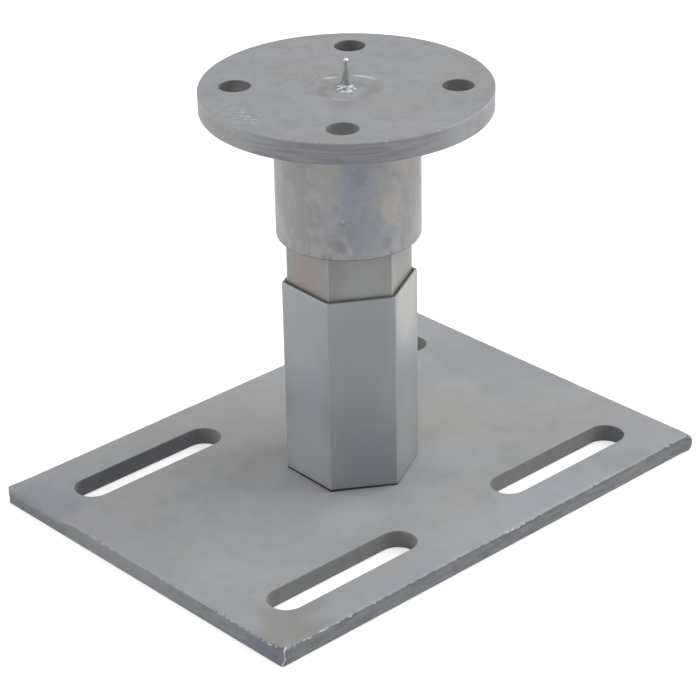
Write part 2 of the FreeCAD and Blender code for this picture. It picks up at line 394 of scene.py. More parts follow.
bulge = RIGHT_CORNER_BULGE * at_right * np.sin(math.pi * np.clip(0.12 + 0.8 * rise, 0, 1))
plate_rim[..., 0] += bulge / math.sqrt(2)
plate_rim[..., 1] -= bulge / math.sqrt(2)

# Where the cut face begins: a jagged line, soft along the worn end of the left side.
softened = np.clip((plate_path[:, 0] - PLATE_LOW[0]) / FAR_CUT_LENGTH, 0, 1) * (1 - near_right)
jags = PLATE_CUT_JAGS * bracelet(plate_round, 120, 420, 9) * (1 - soft_left)
jags = jags * np.clip(0.8 + bracelet(plate_round, 6, 40, 10), 0.2, 1.4)
cut_drop = roll * (PLATE_CUT_START - 0.2 * on_left) + LEFT_ROLL_DROP * soft_left + jags
cut_ease = PLATE_CUT_EASE + FAR_CUT_EASE * softened + LEFT_CUT_EASE * soft_left
rim_cut = np.clip((plate_top - cut_drop - rim_height) / cut_ease, 0, 1)
worn_left = LEFT_WORN * soft_left * np.clip((plate_top - rim_height) / LEFT_WORN_DEPTH, 0, 1)
rim_cut = np.maximum(rim_cut, worn_left)

# Bright zinc flakes and painted highlights on the edge, a painted highlight down the front corner, and
# a painted shade line under the edge.
slant = EDGE_SPOT_SLANT * (plate_top - rim_height) / MM
flakes_and_highlights = (on_front * bright_spots_along(front_run, FRONT_FLAKES_AND_HIGHLIGHTS, slant)
          + on_left * bright_spots_along(left_run, LEFT_EDGE_HIGHLIGHTS, slant))
at_edge = bell(rim_height - plate_top + roll_depth * 0.7, EDGE_SPOT_HEIGHT)
wander = np.interp(rise, *zip(*CORNER_HIGHLIGHT_PATH))
corner_drop = bell(rim_height - plate_top + CORNER_DROP_DEPTH, CORNER_DROP_LENGTH)
corner_gap = (front_run - left_run - wander) * MM
corner_highlight_line = (at_front > 0.5) * bell(corner_gap, CORNER_HIGHLIGHT_WIDTH * (1 + corner_drop))
rim_flakes_and_highlights = np.clip(flakes_and_highlights * at_edge + 1.5 * corner_highlight_line, 0, 1.5)
rim_flakes_and_highlights[-2:] = 0
under_edge = rim_height - plate_top + 0.8 * roll_depth + jags + PLATE_SHADE_DROP
shadow_line = 0.8 * bell(under_edge, PLATE_SHADE_WIDTH) * on_front
shadow_line = shadow_line * np.clip((front_run - PLATE_SHADE_START) / PLATE_SHADE_EASE, 0, 1)
shadow_line = shadow_line * np.clip(0.8 + bracelet(plate_round, 10, 300, 8), 0, 1)

slot_x = PLATE_HIGH[0] - SLOT_MARGIN - SLOT_LENGTH / 2
slot_y = PLATE_HIGH[1] - SLOT_MARGIN - SLOT_WIDTH / 2
walls = [opening(*slot_path(side_x * slot_x, side_y * slot_y), plate_bottom, plate_top,
                 SLOT_EDGE_BREAK) for side_x in (-1, 1) for side_y in (-1, 1)]
walls.append(opening(*ring_path(SPINDLE_RADIUS, ROUND_STEPS), plate_bottom, plate_top,
                     WELDED_EDGE_BREAK))
rim_marks = {"sheared_edge": rim_cut, "edge_shadow": shadow_line, "bright_zinc_and_highlight": rim_flakes_and_highlights}
base_plate = piece("base_plate_galvanised", pierced(plate_rim, rim_marks, walls, 8 * MM), "base",
                   "base_plate")


class Amount:
    """A number that changes over a surface. Arithmetic on it adds Math nodes."""

    def __init__(self, finish, socket):
        self.finish = finish
        self.socket = socket

    def __add__(self, other):
        return self.finish.node("ShaderNodeMath", {"operation": "ADD"}, {0: self, 1: other})

    __radd__ = __add__

    def __sub__(self, other):
        return self.finish.node("ShaderNodeMath", {"operation": "SUBTRACT"}, {0: self, 1: other})

    def __rsub__(self, other):
        return self.finish.node("ShaderNodeMath", {"operation": "SUBTRACT"}, {0: other, 1: self})

    def __mul__(self, other):
        return self.finish.node("ShaderNodeMath", {"operation": "MULTIPLY"}, {0: self, 1: other})

    __rmul__ = __mul__


class Finish:
    """A node tree of a material or of the sky, written as expressions."""

    def __init__(self, owner):
        owner.use_nodes = True
        self.owner = owner
        self.tree = owner.node_tree

    def node(self, kind, settings=None, sockets=None, output=0):
        """One node of a type: its settings first, then the value or link of each socket, by
        name or number. Gives the numbered or named output."""
        made = self.tree.nodes.new(kind)
        for setting, value in (settings or {}).items():
            setattr(made, setting, value)
        for key, value in (sockets or {}).items():
            if isinstance(value, Amount):
                self.tree.links.new(value.socket, made.inputs[key])
            else:
                made.inputs[key].default_value = value
        return Amount(self, made.outputs[output])

    def place(self):
        """A point's place on the piece, in metres."""
        return self.node("ShaderNodeTexCoord", output="Object")

    def mottle(self, size, detail=3.0, stretch=(1, 1, 1), shift=(0, 0, 0), rough=0.55, swing=0.0):
        """Soft random patches of about that size in metres, from 0 to 1 about a mean of a half.
        Stretch makes them longer along an axis, and swing turns that axis about the upright one."""
        start = [-moved * longer for moved, longer in zip(shift, stretch)]
        place = self.node("ShaderNodeMapping", {"vector_type": "TEXTURE"},
                          {"Vector": self.place(), "Location": start, "Rotation": (0, 0, swing),
                           "Scale": stretch})
        return self.node("ShaderNodeTexNoise", None, {"Vector": place, "Scale": 1 / size,
                                                      "Detail": detail, "Roughness": rough})

    def part(self, amount, low, high, start=0.0, end=1.0):
        """Start below low, end above high, and a smooth step between."""
        return self.node("ShaderNodeMapRange", {"interpolation_type": "SMOOTHSTEP"},
                         {"Value": amount, "From Min": low, "From Max": high,
                          "To Min": start, "To Max": end})

    def blend(self, share, first, second):
        """One colour passing into another as the share goes from 0 to 1."""
        first, second = [c if isinstance(c, Amount) else (*c, 1.0) for c in (first, second)]
        return self.node("ShaderNodeMix", {"data_type": "RGBA"}, {0: share, 6: first, 7: second},
                         output=2)

    def mark(self, attribute):
        """One of the amounts that a mesh carries on its points."""
        return self.node("ShaderNodeAttribute", {"attribute_name": attribute}, output="Fac")

    def from_axis(self):
        """A point's distance from the upright axis, in metres."""
        flat = self.node("ShaderNodeVectorMath", {"operation": "MULTIPLY"},
                         {0: self.place(), 1: (1.0, 1.0, 0.0)})
        return self.node("ShaderNodeVectorMath", {"operation": "LENGTH"}, {0: flat}, output="Value")

    def from_spot(self, spot, squeeze=(1.0, 1.0, 1.0)):
        """A point's distance from a spot, in metres, with each axis squeezed by its own factor."""
        away = self.node("ShaderNodeVectorMath", {"operation": "SUBTRACT"}, {0: self.place(), 1: spot})
        away = self.node("ShaderNodeVectorMath", {"operation": "MULTIPLY"}, {0: away, 1: squeeze})
        return self.node("ShaderNodeVectorMath", {"operation": "LENGTH"}, {0: away}, output="Value")

    def relief(self, height, depth, under=None):
        """A bumped normal from a height between 0 and 1 that stands for a depth in metres."""
        sockets = {"Height": height, "Distance": depth, "Strength": 1.0}
        if under is not None:
            sockets["Normal"] = under
        return self.node("ShaderNodeBump", None, sockets)

    def clouded(self, colour, clouds, edge_size, edge_reach):
        """Lays patches of other tones over a colour. Each has a middle in millimetres, how far
        each axis is squeezed, a reach in millimetres, a strength and a hue, and noise frays its
        edge."""
        for spot, squeeze, reach, strength, hue in clouds:
            spot, reach = [v * MM for v in spot], reach * MM
            fray = self.mottle(edge_size, 5.0, shift=[v * 100 for v in spot], rough=0.6) - 0.5
            away = self.from_spot(spot, squeeze) + fray * edge_reach * reach
            colour = self.blend(self.part(away, 0.4 * reach, reach, strength, 0.0), colour, hue)
        return colour

    def coat(self, colour, roughness, metal, normal=None):
        """Sets the shader: what is the same all over goes on its own socket."""
        shader = self.tree.nodes["Principled BSDF"]
        for name, value in (("Base Color", colour), ("Roughness", roughness), ("Metallic", metal),
                            ("Normal", normal)):
            if isinstance(value, Amount):
                self.tree.links.new(value.socket, shader.inputs[name])
            elif value is not None:
                shader.inputs[name].default_value = (*value, 1.0) if name == "Base Color" else value
        return self.owner


def finish_for(name):
    """A new material's finish."""
    return Finish(bpy.data.materials.new(name))


def galvanised(name, pale, cool, warm, dark, seed, bloom=0.045):
    """Hot-dip zinc gone dull: broad cool and warm clouds, finer dark mottling, and a few small
    pale pimples and dark pits. Also gives the noises that its roughness and relief follow."""
    finish = finish_for(name)
    shift = (seed * 1.7, seed * -2.3, seed * 0.9)
    clouds = finish.mottle(bloom, 2.0, shift=shift)
    tint = finish.mottle(bloom * 1.6, 2.0, shift=shift[::-1])
    spots = finish.mottle(bloom * 0.22, 5.0, shift=shift, rough=0.65)
    grain = finish.mottle(1.1 * MM, 4.0, rough=0.7)
    colour = finish.blend(finish.part(clouds, 0.36, 0.64), pale, cool)
    colour = finish.blend(finish.part(tint, 0.46, 0.68) * 0.7, colour, warm)
    colour = finish.blend(finish.part(spots, 0.45, 0.75) * 0.35, colour, dark)
    colour = finish.blend(finish.part(grain, 0.35, 0.65) * 0.12, colour, dark)
    pimples = finish.mottle(2.0 * MM, 1.0, shift=shift[::-1])
    colour = finish.blend(finish.part(pimples, 0.73, 0.80) * 0.5, colour, ZINC_PIMPLE)
    colour = finish.blend(finish.part(pimples, 0.22, 0.27, 0.4, 0.0), colour, dark)
    return finish, colour, spots, grain


def cut_flakes_and_highlights(finish, colour, punched, edge_pale, edge_dark, roughness, streaks):
    """Lays sheared edges, punched walls and painted shade, the painted shade under a rim, and bright
    zinc flakes and painted highlights over a coat's colour, and changes its roughness where the edge is
    cut or bright."""
    cut, bright = finish.mark("sheared_edge"), finish.mark("bright_zinc_and_highlight")
    edge = finish.blend(finish.part(streaks, 0.35, 0.68), edge_pale, edge_dark)
    colour = finish.blend(cut, colour, edge)
    colour = finish.blend(finish.mark("punched_wall_and_shade"), colour, punched)
    colour = finish.blend(finish.mark("edge_shadow"), colour, PLATE_SHADE)
    speckle = finish.mottle(0.8 * MM, 2.0, stretch=(1.5, 1.5, 1))
    bright = finish.part(bright + (speckle - 0.5) * 1.8, 0.45, 0.85)
    colour = finish.blend(bright * 0.9, colour, BRIGHT_ZINC_AND_HIGHLIGHT)
    return colour, roughness - bright * 0.2 + cut * 0.05


plate_finish, plate_colour, spots, grain = galvanised("galvanised_plate", *PLATE_ZINC, seed=1)
plate_colour = plate_finish.clouded(plate_colour, PLATE_CLOUDS_AND_LIGHT, 16 * MM, 1.0)
shear_streaks = plate_finish.mottle(2.0 * MM, 4.0, stretch=(4.5, 4.5, 1), rough=0.6)
plate_punched = plate_finish.clouded(PLATE_WALL, PLATE_WALL_CLOUDS_AND_SHADE, 8 * MM, 0.5)
smudges = plate_finish.part(plate_finish.mottle(3.5 * MM, 4.0, rough=0.65), 0.54, 0.68)
plate_punched = plate_finish.blend(smudges * 0.35, plate_punched, PLATE_WALL_SMUDGE)
cut_tint = plate_finish.part(plate_finish.mottle(22 * MM, 1.0, shift=(3, 1, 2)), 0.42, 0.6)
sheared_pale, sheared_dark = [
    plate_finish.clouded(plate_finish.blend(cut_tint, *tones), PLATE_CUT_CLOUDS, 8 * MM, 1.0)
    for tones in (PLATE_CUT_PALE, PLATE_CUT_DARK)]
plate_colour, plate_roughness = cut_flakes_and_highlights(
    plate_finish, plate_colour, plate_punched, sheared_pale, sheared_dark,
    plate_finish.part(spots, 0.3, 0.7, 0.64, 0.76), shear_streaks)
plate_normal = plate_finish.relief(spots, 0.08 * MM)
plate_normal = plate_finish.relief(grain, 0.03 * MM, plate_normal)
base_plate.data.materials.append(
    plate_finish.coat(plate_colour, plate_roughness, 0.2, plate_normal))


# Lower spindle: a plain steel rod with a coarse right-hand thread, set in the plate's hole.
# It is welded there from both sides, with a bead on top that the cover tube hides and a
# plug underneath, left a little below the plate's face.

THREAD_PITCH = 3.5 * MM
THREAD_DEPTH = 2.0 * MM
THREAD_CREST = 1 / 8
THREAD_FLANK = 5 / 16
THREAD_ROWS = 10
SPINDLE_CHAMFER = 2.0 * MM
STEEL_TONES = ((0.42, 0.42, 0.42), (0.30, 0.295, 0.285))


def helix_radius(turn, height, hand):
    """The radius of a threaded rod: its crest radius less a trapezoid wave of the height minus
    the helix's own rise at that angle. An eighth of the pitch is crest, a quarter is root, and
    the two flanks take the rest."""
    phase = (height / THREAD_PITCH - hand * turn / (2 * math.pi)) % 1
    off_crest = np.minimum(phase, 1 - phase)
    return SPINDLE_RADIUS - THREAD_DEPTH * np.clip((off_crest - THREAD_CREST / 2) / THREAD_FLANK, 0, 1)


def around(radius, height, turn):
    """Points round the upright axis at a radius and height that may vary from place to place."""
    radius, height, turn = np.broadcast_arrays(radius, height, turn)
    return np.dstack([radius * np.cos(turn), radius * np.sin(turn), height])


def threaded_rod(bottom, top, hand, chamfered_top):
    """A rod's surface from the axis at its lower end to the axis at its upper one. The radius is
    the thread's, cut back by a cone at the free end."""
    turn = turns(ROUND_STEPS)[None]
    height = column(np.arange(bottom, top, THREAD_PITCH / THREAD_ROWS).tolist() + [top])
    radius = helix_radius(turn, height, hand)
    to_end = (top - height) if chamfered_top else (height - bottom)
    radius = np.minimum(radius, SPINDLE_RADIUS - SPINDLE_CHAMFER + to_end)
    rows = np.vstack([height[:1], height, height[-1:]])
    return around(np.vstack([0 * radius[:1], radius, 0 * radius[:1]]), rows, turn)


spindle_low, spindle_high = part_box("lower_spindle")
rod = threaded_rod(spindle_low[2], spindle_high[2], 1, True)
lower_spindle = piece("lower_spindle_threaded", [wrapped(rod)], "base", "lower_spindle")

steel = finish_for("spindle_steel")
steel_turning = steel.mottle(0.35 * MM, 3.0, stretch=(6, 6, 1))
steel_cloud = steel.mottle(9 * MM)
steel_colour = steel.blend(steel.part(steel_cloud, 0.35, 0.7), *STEEL_TONES)
steel.coat(steel_colour, steel.part(steel_turning, 0.3, 0.7, 0.3, 0.42), 0.9,
           steel.relief(steel_turning, 0.01 * MM))
lower_spindle.data.materials.append(steel.owner)

WELD_RIPPLE = 0.22 * MM
PLUG_RIPPLE = 0.12 * MM
PLUG_RINGS = 26
PLUG_SPIRAL_TURNS = 5
FILLET_RIPPLES = 34
FILLET_BULGE = 0.16
FILLET_WANDER = 0.07
WELD_STEPS = 144
WELD_TONES = ((0.42, 0.43, 0.44), (0.30, 0.31, 0.33))

weld_turn = turns(WELD_STEPS)[None]
weld_round = weld_turn[0] / (2 * math.pi)


def ripples(turn, lag, count):
    """The scales of a weld bead, from 0 to 1: the size of a sine round the axis, raised to a
    power under one to round its tops, which lags behind towards the bead's edges."""
    return np.abs(np.sin((turn * count + lag) / 2)) ** 0.7


def plug(bottom, top, radius):
    """A plug of weld, flat above. Below it is a shallow spiral of ripples, the cosine of the
    angle plus five turns of the reach, which fades out at the edge by the root of one minus
    the reach's fourth power. Rows run from the lower middle outwards, up and back."""
    reach = column(np.linspace(0, 1, PLUG_RINGS))
    spiral = 0.5 + 0.5 * np.cos(2 * math.pi * reach * PLUG_SPIRAL_TURNS + weld_turn)
    swell = PLUG_RIPPLE * spiral * np.sqrt(np.clip(1 - reach ** 4, 0, 1))
    lower = around(radius * reach, bottom + PLUG_RIPPLE - swell, weld_turn)
    upper = around(radius * reach[::-1], top - PLUG_RIPPLE, weld_turn)
    return np.concatenate([lower, upper])


def fillet_bead(root, leg, wall, floor_height, upward, count, seed):
    """A fillet weld's surface: a closed loop from its corner out along the floor, up its face
    and back along the wall. The face bulges by a half sine, and ripples lie across it, thrown
    back towards both toes."""
    across = column(np.linspace(0, 1, 11))
    bulge = np.sin(math.pi * across)
    crest = ripples(weld_turn, 5 * (2 * across - 1) ** 2, count)
    own_leg = leg * (1 - FILLET_WANDER + FILLET_WANDER * bracelet(weld_round, 3, 30, seed))
    lift = (FILLET_BULGE * leg * bulge - WELD_RIPPLE * bulge * (1 - crest)) / math.sqrt(2)
    side = math.copysign(1, wall - root)
    face = around(root + side * (own_leg * across + lift),
                  floor_height + upward * (own_leg * (1 - across) + lift), weld_turn)
    corner = around(root + 0 * weld_turn, floor_height + 0 * weld_turn, weld_turn)
    loop = np.concatenate([corner, face[::-1]])
    return loop[::-1] if side * upward < 0 else loop


plug_low, plug_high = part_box("lower_plug_weld")
plug_rows = plug(plug_low[2], plug_high[2], SPINDLE_RADIUS)
lower_plug_weld = piece("lower_plug_weld_rippled", [wrapped(plug_rows)], "base", "lower_plug_weld")

fillet_low, fillet_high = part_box("lower_fillet_weld")
lower_bead = fillet_bead(SPINDLE_RADIUS, fillet_high[2] - fillet_low[2], fillet_high[0],
                         fillet_low[2], 1, FILLET_RIPPLES, 21)
lower_fillet_weld = piece("lower_fillet_weld_rippled", [wrapped(lower_bead, close_rows=True)], "base",
                          "lower_fillet_weld", crease=50)

weld = finish_for("weld_metal")
weld_cloud = weld.mottle(3 * MM)
weld_colour = weld.blend(weld.part(weld_cloud, 0.35, 0.7), *WELD_TONES)
weld.coat(weld_colour, weld.part(weld_cloud, 0.3, 0.7, 0.34, 0.5), 0.6,
          weld.relief(weld.mottle(0.5 * MM), 0.03 * MM))
for made in (lower_plug_weld, lower_fillet_weld):
    made.data.materials.append(weld.owner)


# Cover tube: thin steel strip folded into a hexagon, zinc-plated smooth and even. It stands loose on
# the plate on its cut edge, and turns with the nut that it fits over. Its foot is painted black, as the
# shade of the gap beneath it.

HEXAGON_TURN = math.radians(-2.3)
COVER_ACROSS_FLATS = 50 * MM
COVER_BEND = 1.0 * MM
COVER_WALL = 1.5 * MM
COVER_INNER_BEND = 0.3 * MM
COVER_RIM_BREAK = 0.4 * MM
COVER_MOUTH_BREAK = 0.75 * MM
# The black foot is painted shade that fills the gap under the tube, taller towards one side.
COVER_FOOT_GAP = 0.05 * MM
COVER_FOOT_BREAK = 0.15 * MM
COVER_FOOT_HEIGHT = 0.55 * MM
COVER_FOOT_LEAST = 0.25 * MM
COVER_FOOT_SLANT = 0.65 * MM
COVER_FOOT_SIDE = math.radians(-160)
COVER_FACE_BULGE = 0.12 * MM
# How strong the painted highlight along the outer corners is, and how far in from them it reaches.
COVER_EDGE_HIGHLIGHT = 0.3
EDGE_HIGHLIGHT_REACH = 0.04 * MM
COVER_TONES = ((0.333, 0.347, 0.366), (0.308, 0.324, 0.345))
COVER_GRAIN = (0.27, 0.27, 0.275)
COVER_HIGHLIGHT = (0.55, 0.56, 0.58)
COVER_PAINTED_SHADE = (0.045, 0.045, 0.05)
# Painted light and shade on the faces: middle in millimetres, squeeze, reach, strength and hue; the
# left and right faces lighter, the front one darker.
COVER_LIGHT_AND_SHADE = (
    ((-13, -22, 75), (1, 1, 0.35), 17, 0.75, (0.275, 0.292, 0.314)),
    ((-25, 1, 22), (1, 1, 0.7), 22, 0.9, (0.42, 0.435, 0.46)),
    ((-25, 1, 52), (1, 1, 0.6), 16, 0.6, (0.375, 0.40, 0.435)),
    ((-12, -22, 22), (1, 1, 0.7), 16, 0.6, (0.315, 0.345, 0.378)),
    ((12, -22, 92), (1, 1, 0.6), 18, 0.9, (0.44, 0.43, 0.40)),
    ((12, -22, 30), (1, 1, 0.6), 18, 0.7, (0.385, 0.385, 0.385)))


def hexagon_path(across_flats, corner_radius, flat_steps, corner_steps):
    """A hexagon's outline with round corners, anticlockwise, each point's outward direction,
    and how near it is to the middle of its flat, from 0 to 1. The points on a flat follow a
    half cosine, so that they crowd towards the corners and the shading bends only there."""
    reach = (across_flats / 2 - corner_radius) * 2 / math.sqrt(3)
    centre, away, middle = [], [], []
    for side in range(6):
        turn = HEXAGON_TURN + side * math.pi / 3
        corners = [turn - math.pi / 6, turn + math.pi / 6]
        ends = [np.array([math.cos(corner), math.sin(corner)]) * reach for corner in corners]
        share = 0.5 - 0.5 * np.cos(np.linspace(0, math.pi, flat_steps))[:, None]
        centre.append(ends[0] * (1 - share) + ends[1] * share)
        away.append(np.broadcast_to([math.cos(turn), math.sin(turn)], (flat_steps, 2)))
        middle.append(1 - (2 * share[:, 0] - 1) ** 2)
        arc = turn + np.linspace(0, math.pi / 3, corner_steps + 2)[1:-1]
        centre.append(np.broadcast_to(ends[1], (corner_steps, 2)))
        away.append(np.column_stack([np.cos(arc), np.sin(arc)]))
        middle.append(np.zeros(corner_steps))
    away = np.vstack(away)
    return np.vstack(centre) + away * corner_radius, away, np.concatenate(middle)


def cover_side(path, away, middle, inward, rim_break):
    """One side of the folded wall, from the foot, painted black as the shade of the gap under it, up to
    the rim. The foot's upper edge is cut out of square, so its height is a cosine of the direction.
    Rims are quarter circles, and the flats bow in by a half sine of the height."""
    turn = np.arctan2(path[:, 1], path[:, 0])
    shaded_foot_top = COVER_FOOT_HEIGHT + COVER_FOOT_SLANT * np.cos(turn - COVER_FOOT_SIDE)
    shaded_foot_top = plate_top + np.maximum(shaded_foot_top, COVER_FOOT_LEAST)
    curl = np.linspace(0, math.pi / 2, 5)
    share = column(np.linspace(0, 1, 16))
    side_low, side_high = shaded_foot_top + COVER_FOOT_BREAK, cover_high[2] - rim_break
    height = np.vstack([
        np.full_like(shaded_foot_top, plate_top + COVER_FOOT_GAP),
        shaded_foot_top + COVER_FOOT_BREAK * column(1 - np.cos(curl[:-1])),
        side_low * (1 - share) + side_high * share,
        cover_high[2] - rim_break * (column(1 - np.sin(curl[1:])) + 0 * shaded_foot_top)])
    inset = np.concatenate([[COVER_FOOT_BREAK], COVER_FOOT_BREAK * (1 - np.sin(curl[:-1])),
                            np.zeros(len(share)), rim_break * (1 - np.cos(curl[1:]))])
    rise = np.clip((height - cover_low[2]) / (cover_high[2] - cover_low[2]), 0, 1)
    bow = COVER_FACE_BULGE * np.sin(math.pi * rise) * middle
    return carried(path, away, -inward * column(inset) - bow, height)


cover_low, cover_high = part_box("cover_tube")
outer_hexagon = hexagon_path(COVER_ACROSS_FLATS, COVER_BEND, 11, 5)
inner_hexagon = hexagon_path(COVER_ACROSS_FLATS - 2 * COVER_WALL, COVER_INNER_BEND, 11, 5)
outer_side = cover_side(*outer_hexagon, 1, COVER_RIM_BREAK)
inner_side = cover_side(*inner_hexagon, -1, COVER_MOUTH_BREAK)
cover_wall = np.concatenate([outer_side, inner_side[::-1]])
cover_reach = np.hypot(*outer_hexagon[0].T)
# Painted highlights along the outer corners.
cover_edge_highlight = np.zeros(cover_wall.shape[:2])
cover_edge_highlight[:len(outer_side)] = COVER_EDGE_HIGHLIGHT * (cover_reach > cover_reach.max() - EDGE_HIGHLIGHT_REACH)

# The foot and the whole inside are painted black as shade, apart from the mouth's broken edge.
cover_shade = np.zeros(cover_wall.shape[:2])
cover_shade[:2] = 1
cover_shade[len(outer_side) + 3:] = 1
cover_marks = {"punched_wall_and_shade": cover_shade, "bright_zinc_and_highlight": cover_edge_highlight}
cover_tube = piece("cover_tube_folded", [wrapped(cover_wall, cover_marks, close_rows=True)], "cover",
                   "cover_tube")

cover = finish_for("cover_zinc")
cover_cloud = cover.mottle(35 * MM, 2.0, stretch=(1, 1, 2.5))
cover_grain = cover.mottle(0.5 * MM, 3.0, stretch=(1, 1, 3))
cover_colour = cover.blend(cover.part(cover_cloud, 0.35, 0.68), *COVER_TONES)
# Painted light and shade: each face lighter or darker as the lamps fall on it.
cover_colour = cover.clouded(cover_colour, COVER_LIGHT_AND_SHADE, 30 * MM, 0.5)
cover_colour = cover.blend(cover.part(cover_grain, 0.35, 0.65) * 0.1, cover_colour, COVER_GRAIN)
# Painted highlights on the corners.
cover_colour = cover.blend(cover.mark("bright_zinc_and_highlight"), cover_colour, COVER_HIGHLIGHT)
# Painted shade: the foot and the inside go black.
cover_colour = cover.blend(cover.mark("punched_wall_and_shade"), cover_colour, COVER_PAINTED_SHADE)
cover.coat(cover_colour, cover.part(cover_cloud, 0.3, 0.7, 0.38, 0.46), 0.35,
           cover.relief(cover_grain, 0.012 * MM))
cover_tube.data.materials.append(cover.owner)


# Adjusting nut: a length of drawn hexagon bar, chamfered at both ends, drilled through and
# threaded right-handed below and left-handed above, with a thin coat of zinc that has
# gone a little brown. Turned with its cover tube, it drives the two spindles apart.

NUT_ACROSS_FLATS = 46 * MM
NUT_EDGE_RADIUS = 0.6 * MM
NUT_FACE_RADIUS = 22.31 * MM
NUT_CHAMFER_SLOPE = math.tan(math.radians(30))
NUT_THREAD_LENGTH = 40 * MM
NUT_COUNTERSINK = 1.5 * MM
NUT_THREAD_PLAY = 0.12 * MM
NUT_RELIEF = 0.75 * MM
# How strong the painted highlight along the nut's corners is.
NUT_EDGE_HIGHLIGHT = 0.3
# Patches of tone: middle in millimetres, squeeze, reach, strength and hue. The first three tint the
# left, right and front faces apart, painted light; the rest are small spots.
NUT_CLOUDS_AND_FACE_LIGHT = (
    ((-23, 1, 105), (1, 1, 0.4), 20, 0.9, (0.285, 0.271, 0.255)),
    ((11, -20, 105), (1, 1, 0.4), 18, 0.9, (0.28, 0.272, 0.25)),
    ((-12, -20, 105), (1, 1, 0.5), 16, 0.7, (0.315, 0.33, 0.333)),
    ((-22.5, 3, 104), (1, 1, 0.8), 9, 0.6, (0.305, 0.25, 0.228)),
    ((-23, -5, 99), (1, 1, 0.8), 5, 0.5, (0.30, 0.262, 0.245)),
    ((-20, -14, 110), (1, 1, 0.5), 5, 0.6, (0.26, 0.27, 0.275)))
NUT_TONES = ((0.335, 0.33, 0.318), (0.29, 0.293, 0.29))
NUT_DRAWN = (0.22, 0.22, 0.22)
NUT_HIGHLIGHT = (0.62, 0.62, 0.61)

nut_low, nut_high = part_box("adjusting_nut")
nut_path = hexagon_path(NUT_ACROSS_FLATS, NUT_EDGE_RADIUS, 10, 5)[0]
nut_turn = np.arctan2(nut_path[:, 1], nut_path[:, 0])[None]
nut_reach = np.hypot(*nut_path.T)[None]
end_cut = (nut_reach - NUT_FACE_RADIUS) * NUT_CHAMFER_SLOPE
up_nut = column(np.linspace(0, 1, 24))
nut_heights = (nut_low[2] + end_cut) * (1 - up_nut) + (nut_high[2] - end_cut) * up_nut
outside = around(nut_reach, nut_heights, nut_turn)


def threaded_mouth(mouth, inward, hand):
    """The nut's bore from its mouth inwards: the rod's own thread with a little play, opened
    into a cone at the mouth and ending in the plain relief."""
    depth = column(np.arange(0, NUT_THREAD_LENGTH, THREAD_PITCH / THREAD_ROWS).tolist()
                   + [NUT_THREAD_LENGTH, NUT_THREAD_LENGTH])
    height = mouth + inward * depth
    radius = helix_radius(nut_turn, height, hand) + NUT_THREAD_PLAY
    radius = np.maximum(radius, SPINDLE_RADIUS + NUT_COUNTERSINK - depth)
    radius[-1] = SPINDLE_RADIUS + NUT_RELIEF
    return around(radius, height, nut_turn)


lower_bore = threaded_mouth(nut_low[2], 1, 1)
upper_bore = threaded_mouth(nut_high[2], -1, -1)
upper_face = around(column([NUT_FACE_RADIUS]), nut_high[2], nut_turn)
lower_face = around(column([NUT_FACE_RADIUS]), nut_low[2], nut_turn)
nut_rows = np.concatenate([outside, upper_face, upper_bore, lower_bore[::-1], lower_face])
# Painted highlights along the nut's corners.
nut_edge_highlight = np.zeros(nut_rows.shape[:2])
nut_edge_highlight[:len(outside)] = NUT_EDGE_HIGHLIGHT * (nut_reach > nut_reach.max() - EDGE_HIGHLIGHT_REACH / 2)
nut_patch = wrapped(nut_rows, {"bright_zinc_and_highlight": nut_edge_highlight}, close_rows=True)
adjusting_nut = piece("adjusting_nut_threaded", [nut_patch], "nut", "adjusting_nut")

nut = finish_for("nut_zinc")
nut_cloud = nut.mottle(16 * MM, 3.0, stretch=(1, 1, 1.6))
nut_drawn = nut.mottle(0.6 * MM, 3.0, stretch=(1, 1, 14))
nut_colour = nut.blend(nut.part(nut_cloud, 0.34, 0.66), *NUT_TONES)
# Painted light: the faces tinted apart, with a few small spots.
nut_colour = nut.clouded(nut_colour, NUT_CLOUDS_AND_FACE_LIGHT, 6 * MM, 1.6)
nut_colour = nut.blend(nut.part(nut_drawn, 0.3, 0.7) * 0.06, nut_colour, NUT_DRAWN)
# Painted highlights on the corners.
nut_colour = nut.blend(nut.mark("bright_zinc_and_highlight"), nut_colour, NUT_HIGHLIGHT)
nut.coat(nut_colour, nut.part(nut_cloud, 0.3, 0.7, 0.42, 0.52), 0.35,
         nut.relief(nut_drawn, 0.015 * MM))
adjusting_nut.data.materials.append(nut.owner)


# Upper spindle: the same steel rod with a left-hand thread instead, so that one turn of the
# nut drives both apart. It is welded into the head plate's middle hole, and hangs free below.

hanging_low, hanging_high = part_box("upper_spindle")
hanging_rod = threaded_rod(hanging_low[2], hanging_high[2], -1, False)
upper_spindle = piece("upper_spindle_threaded", [wrapped(hanging_rod)], "head", "upper_spindle")
upper_spindle.data.materials.append(steel.owner)


# Head plate: a disc of 9 mm plate blanked out on a press, which leaves a sharp upper rim
# with a fine burr, a streaked edge and four punched holes for the screws into the post.

HEAD_RADIUS = 60 * MM
HEAD_STEPS = 540
HEAD_ROLL = 0.8 * MM
HEAD_EDGE_WAVE = 0.08 * MM
HEAD_RIM_BREAK = 0.25 * MM
HEAD_HOLE_CIRCLE = 45 * MM
HEAD_HOLE_RADIUS = 6.5 * MM
HEAD_HOLE_BREAK = 0.3 * MM
# Angles of painted highlight spots on the upper rim.
HEAD_GLINT_SPOTS = (-128.5, -118.5, -152, -96)
HEAD_GLINT_LENGTH = 0.7 * MM
# The streaked side, towards the camera, where the cut face is partly painted shade: middle angle, half
# width and fade in degrees.
STREAKED_SHADED_SIDE = -139
STREAKED_SHADED_HALF = 42
STREAKED_SHADED_FADE = 18
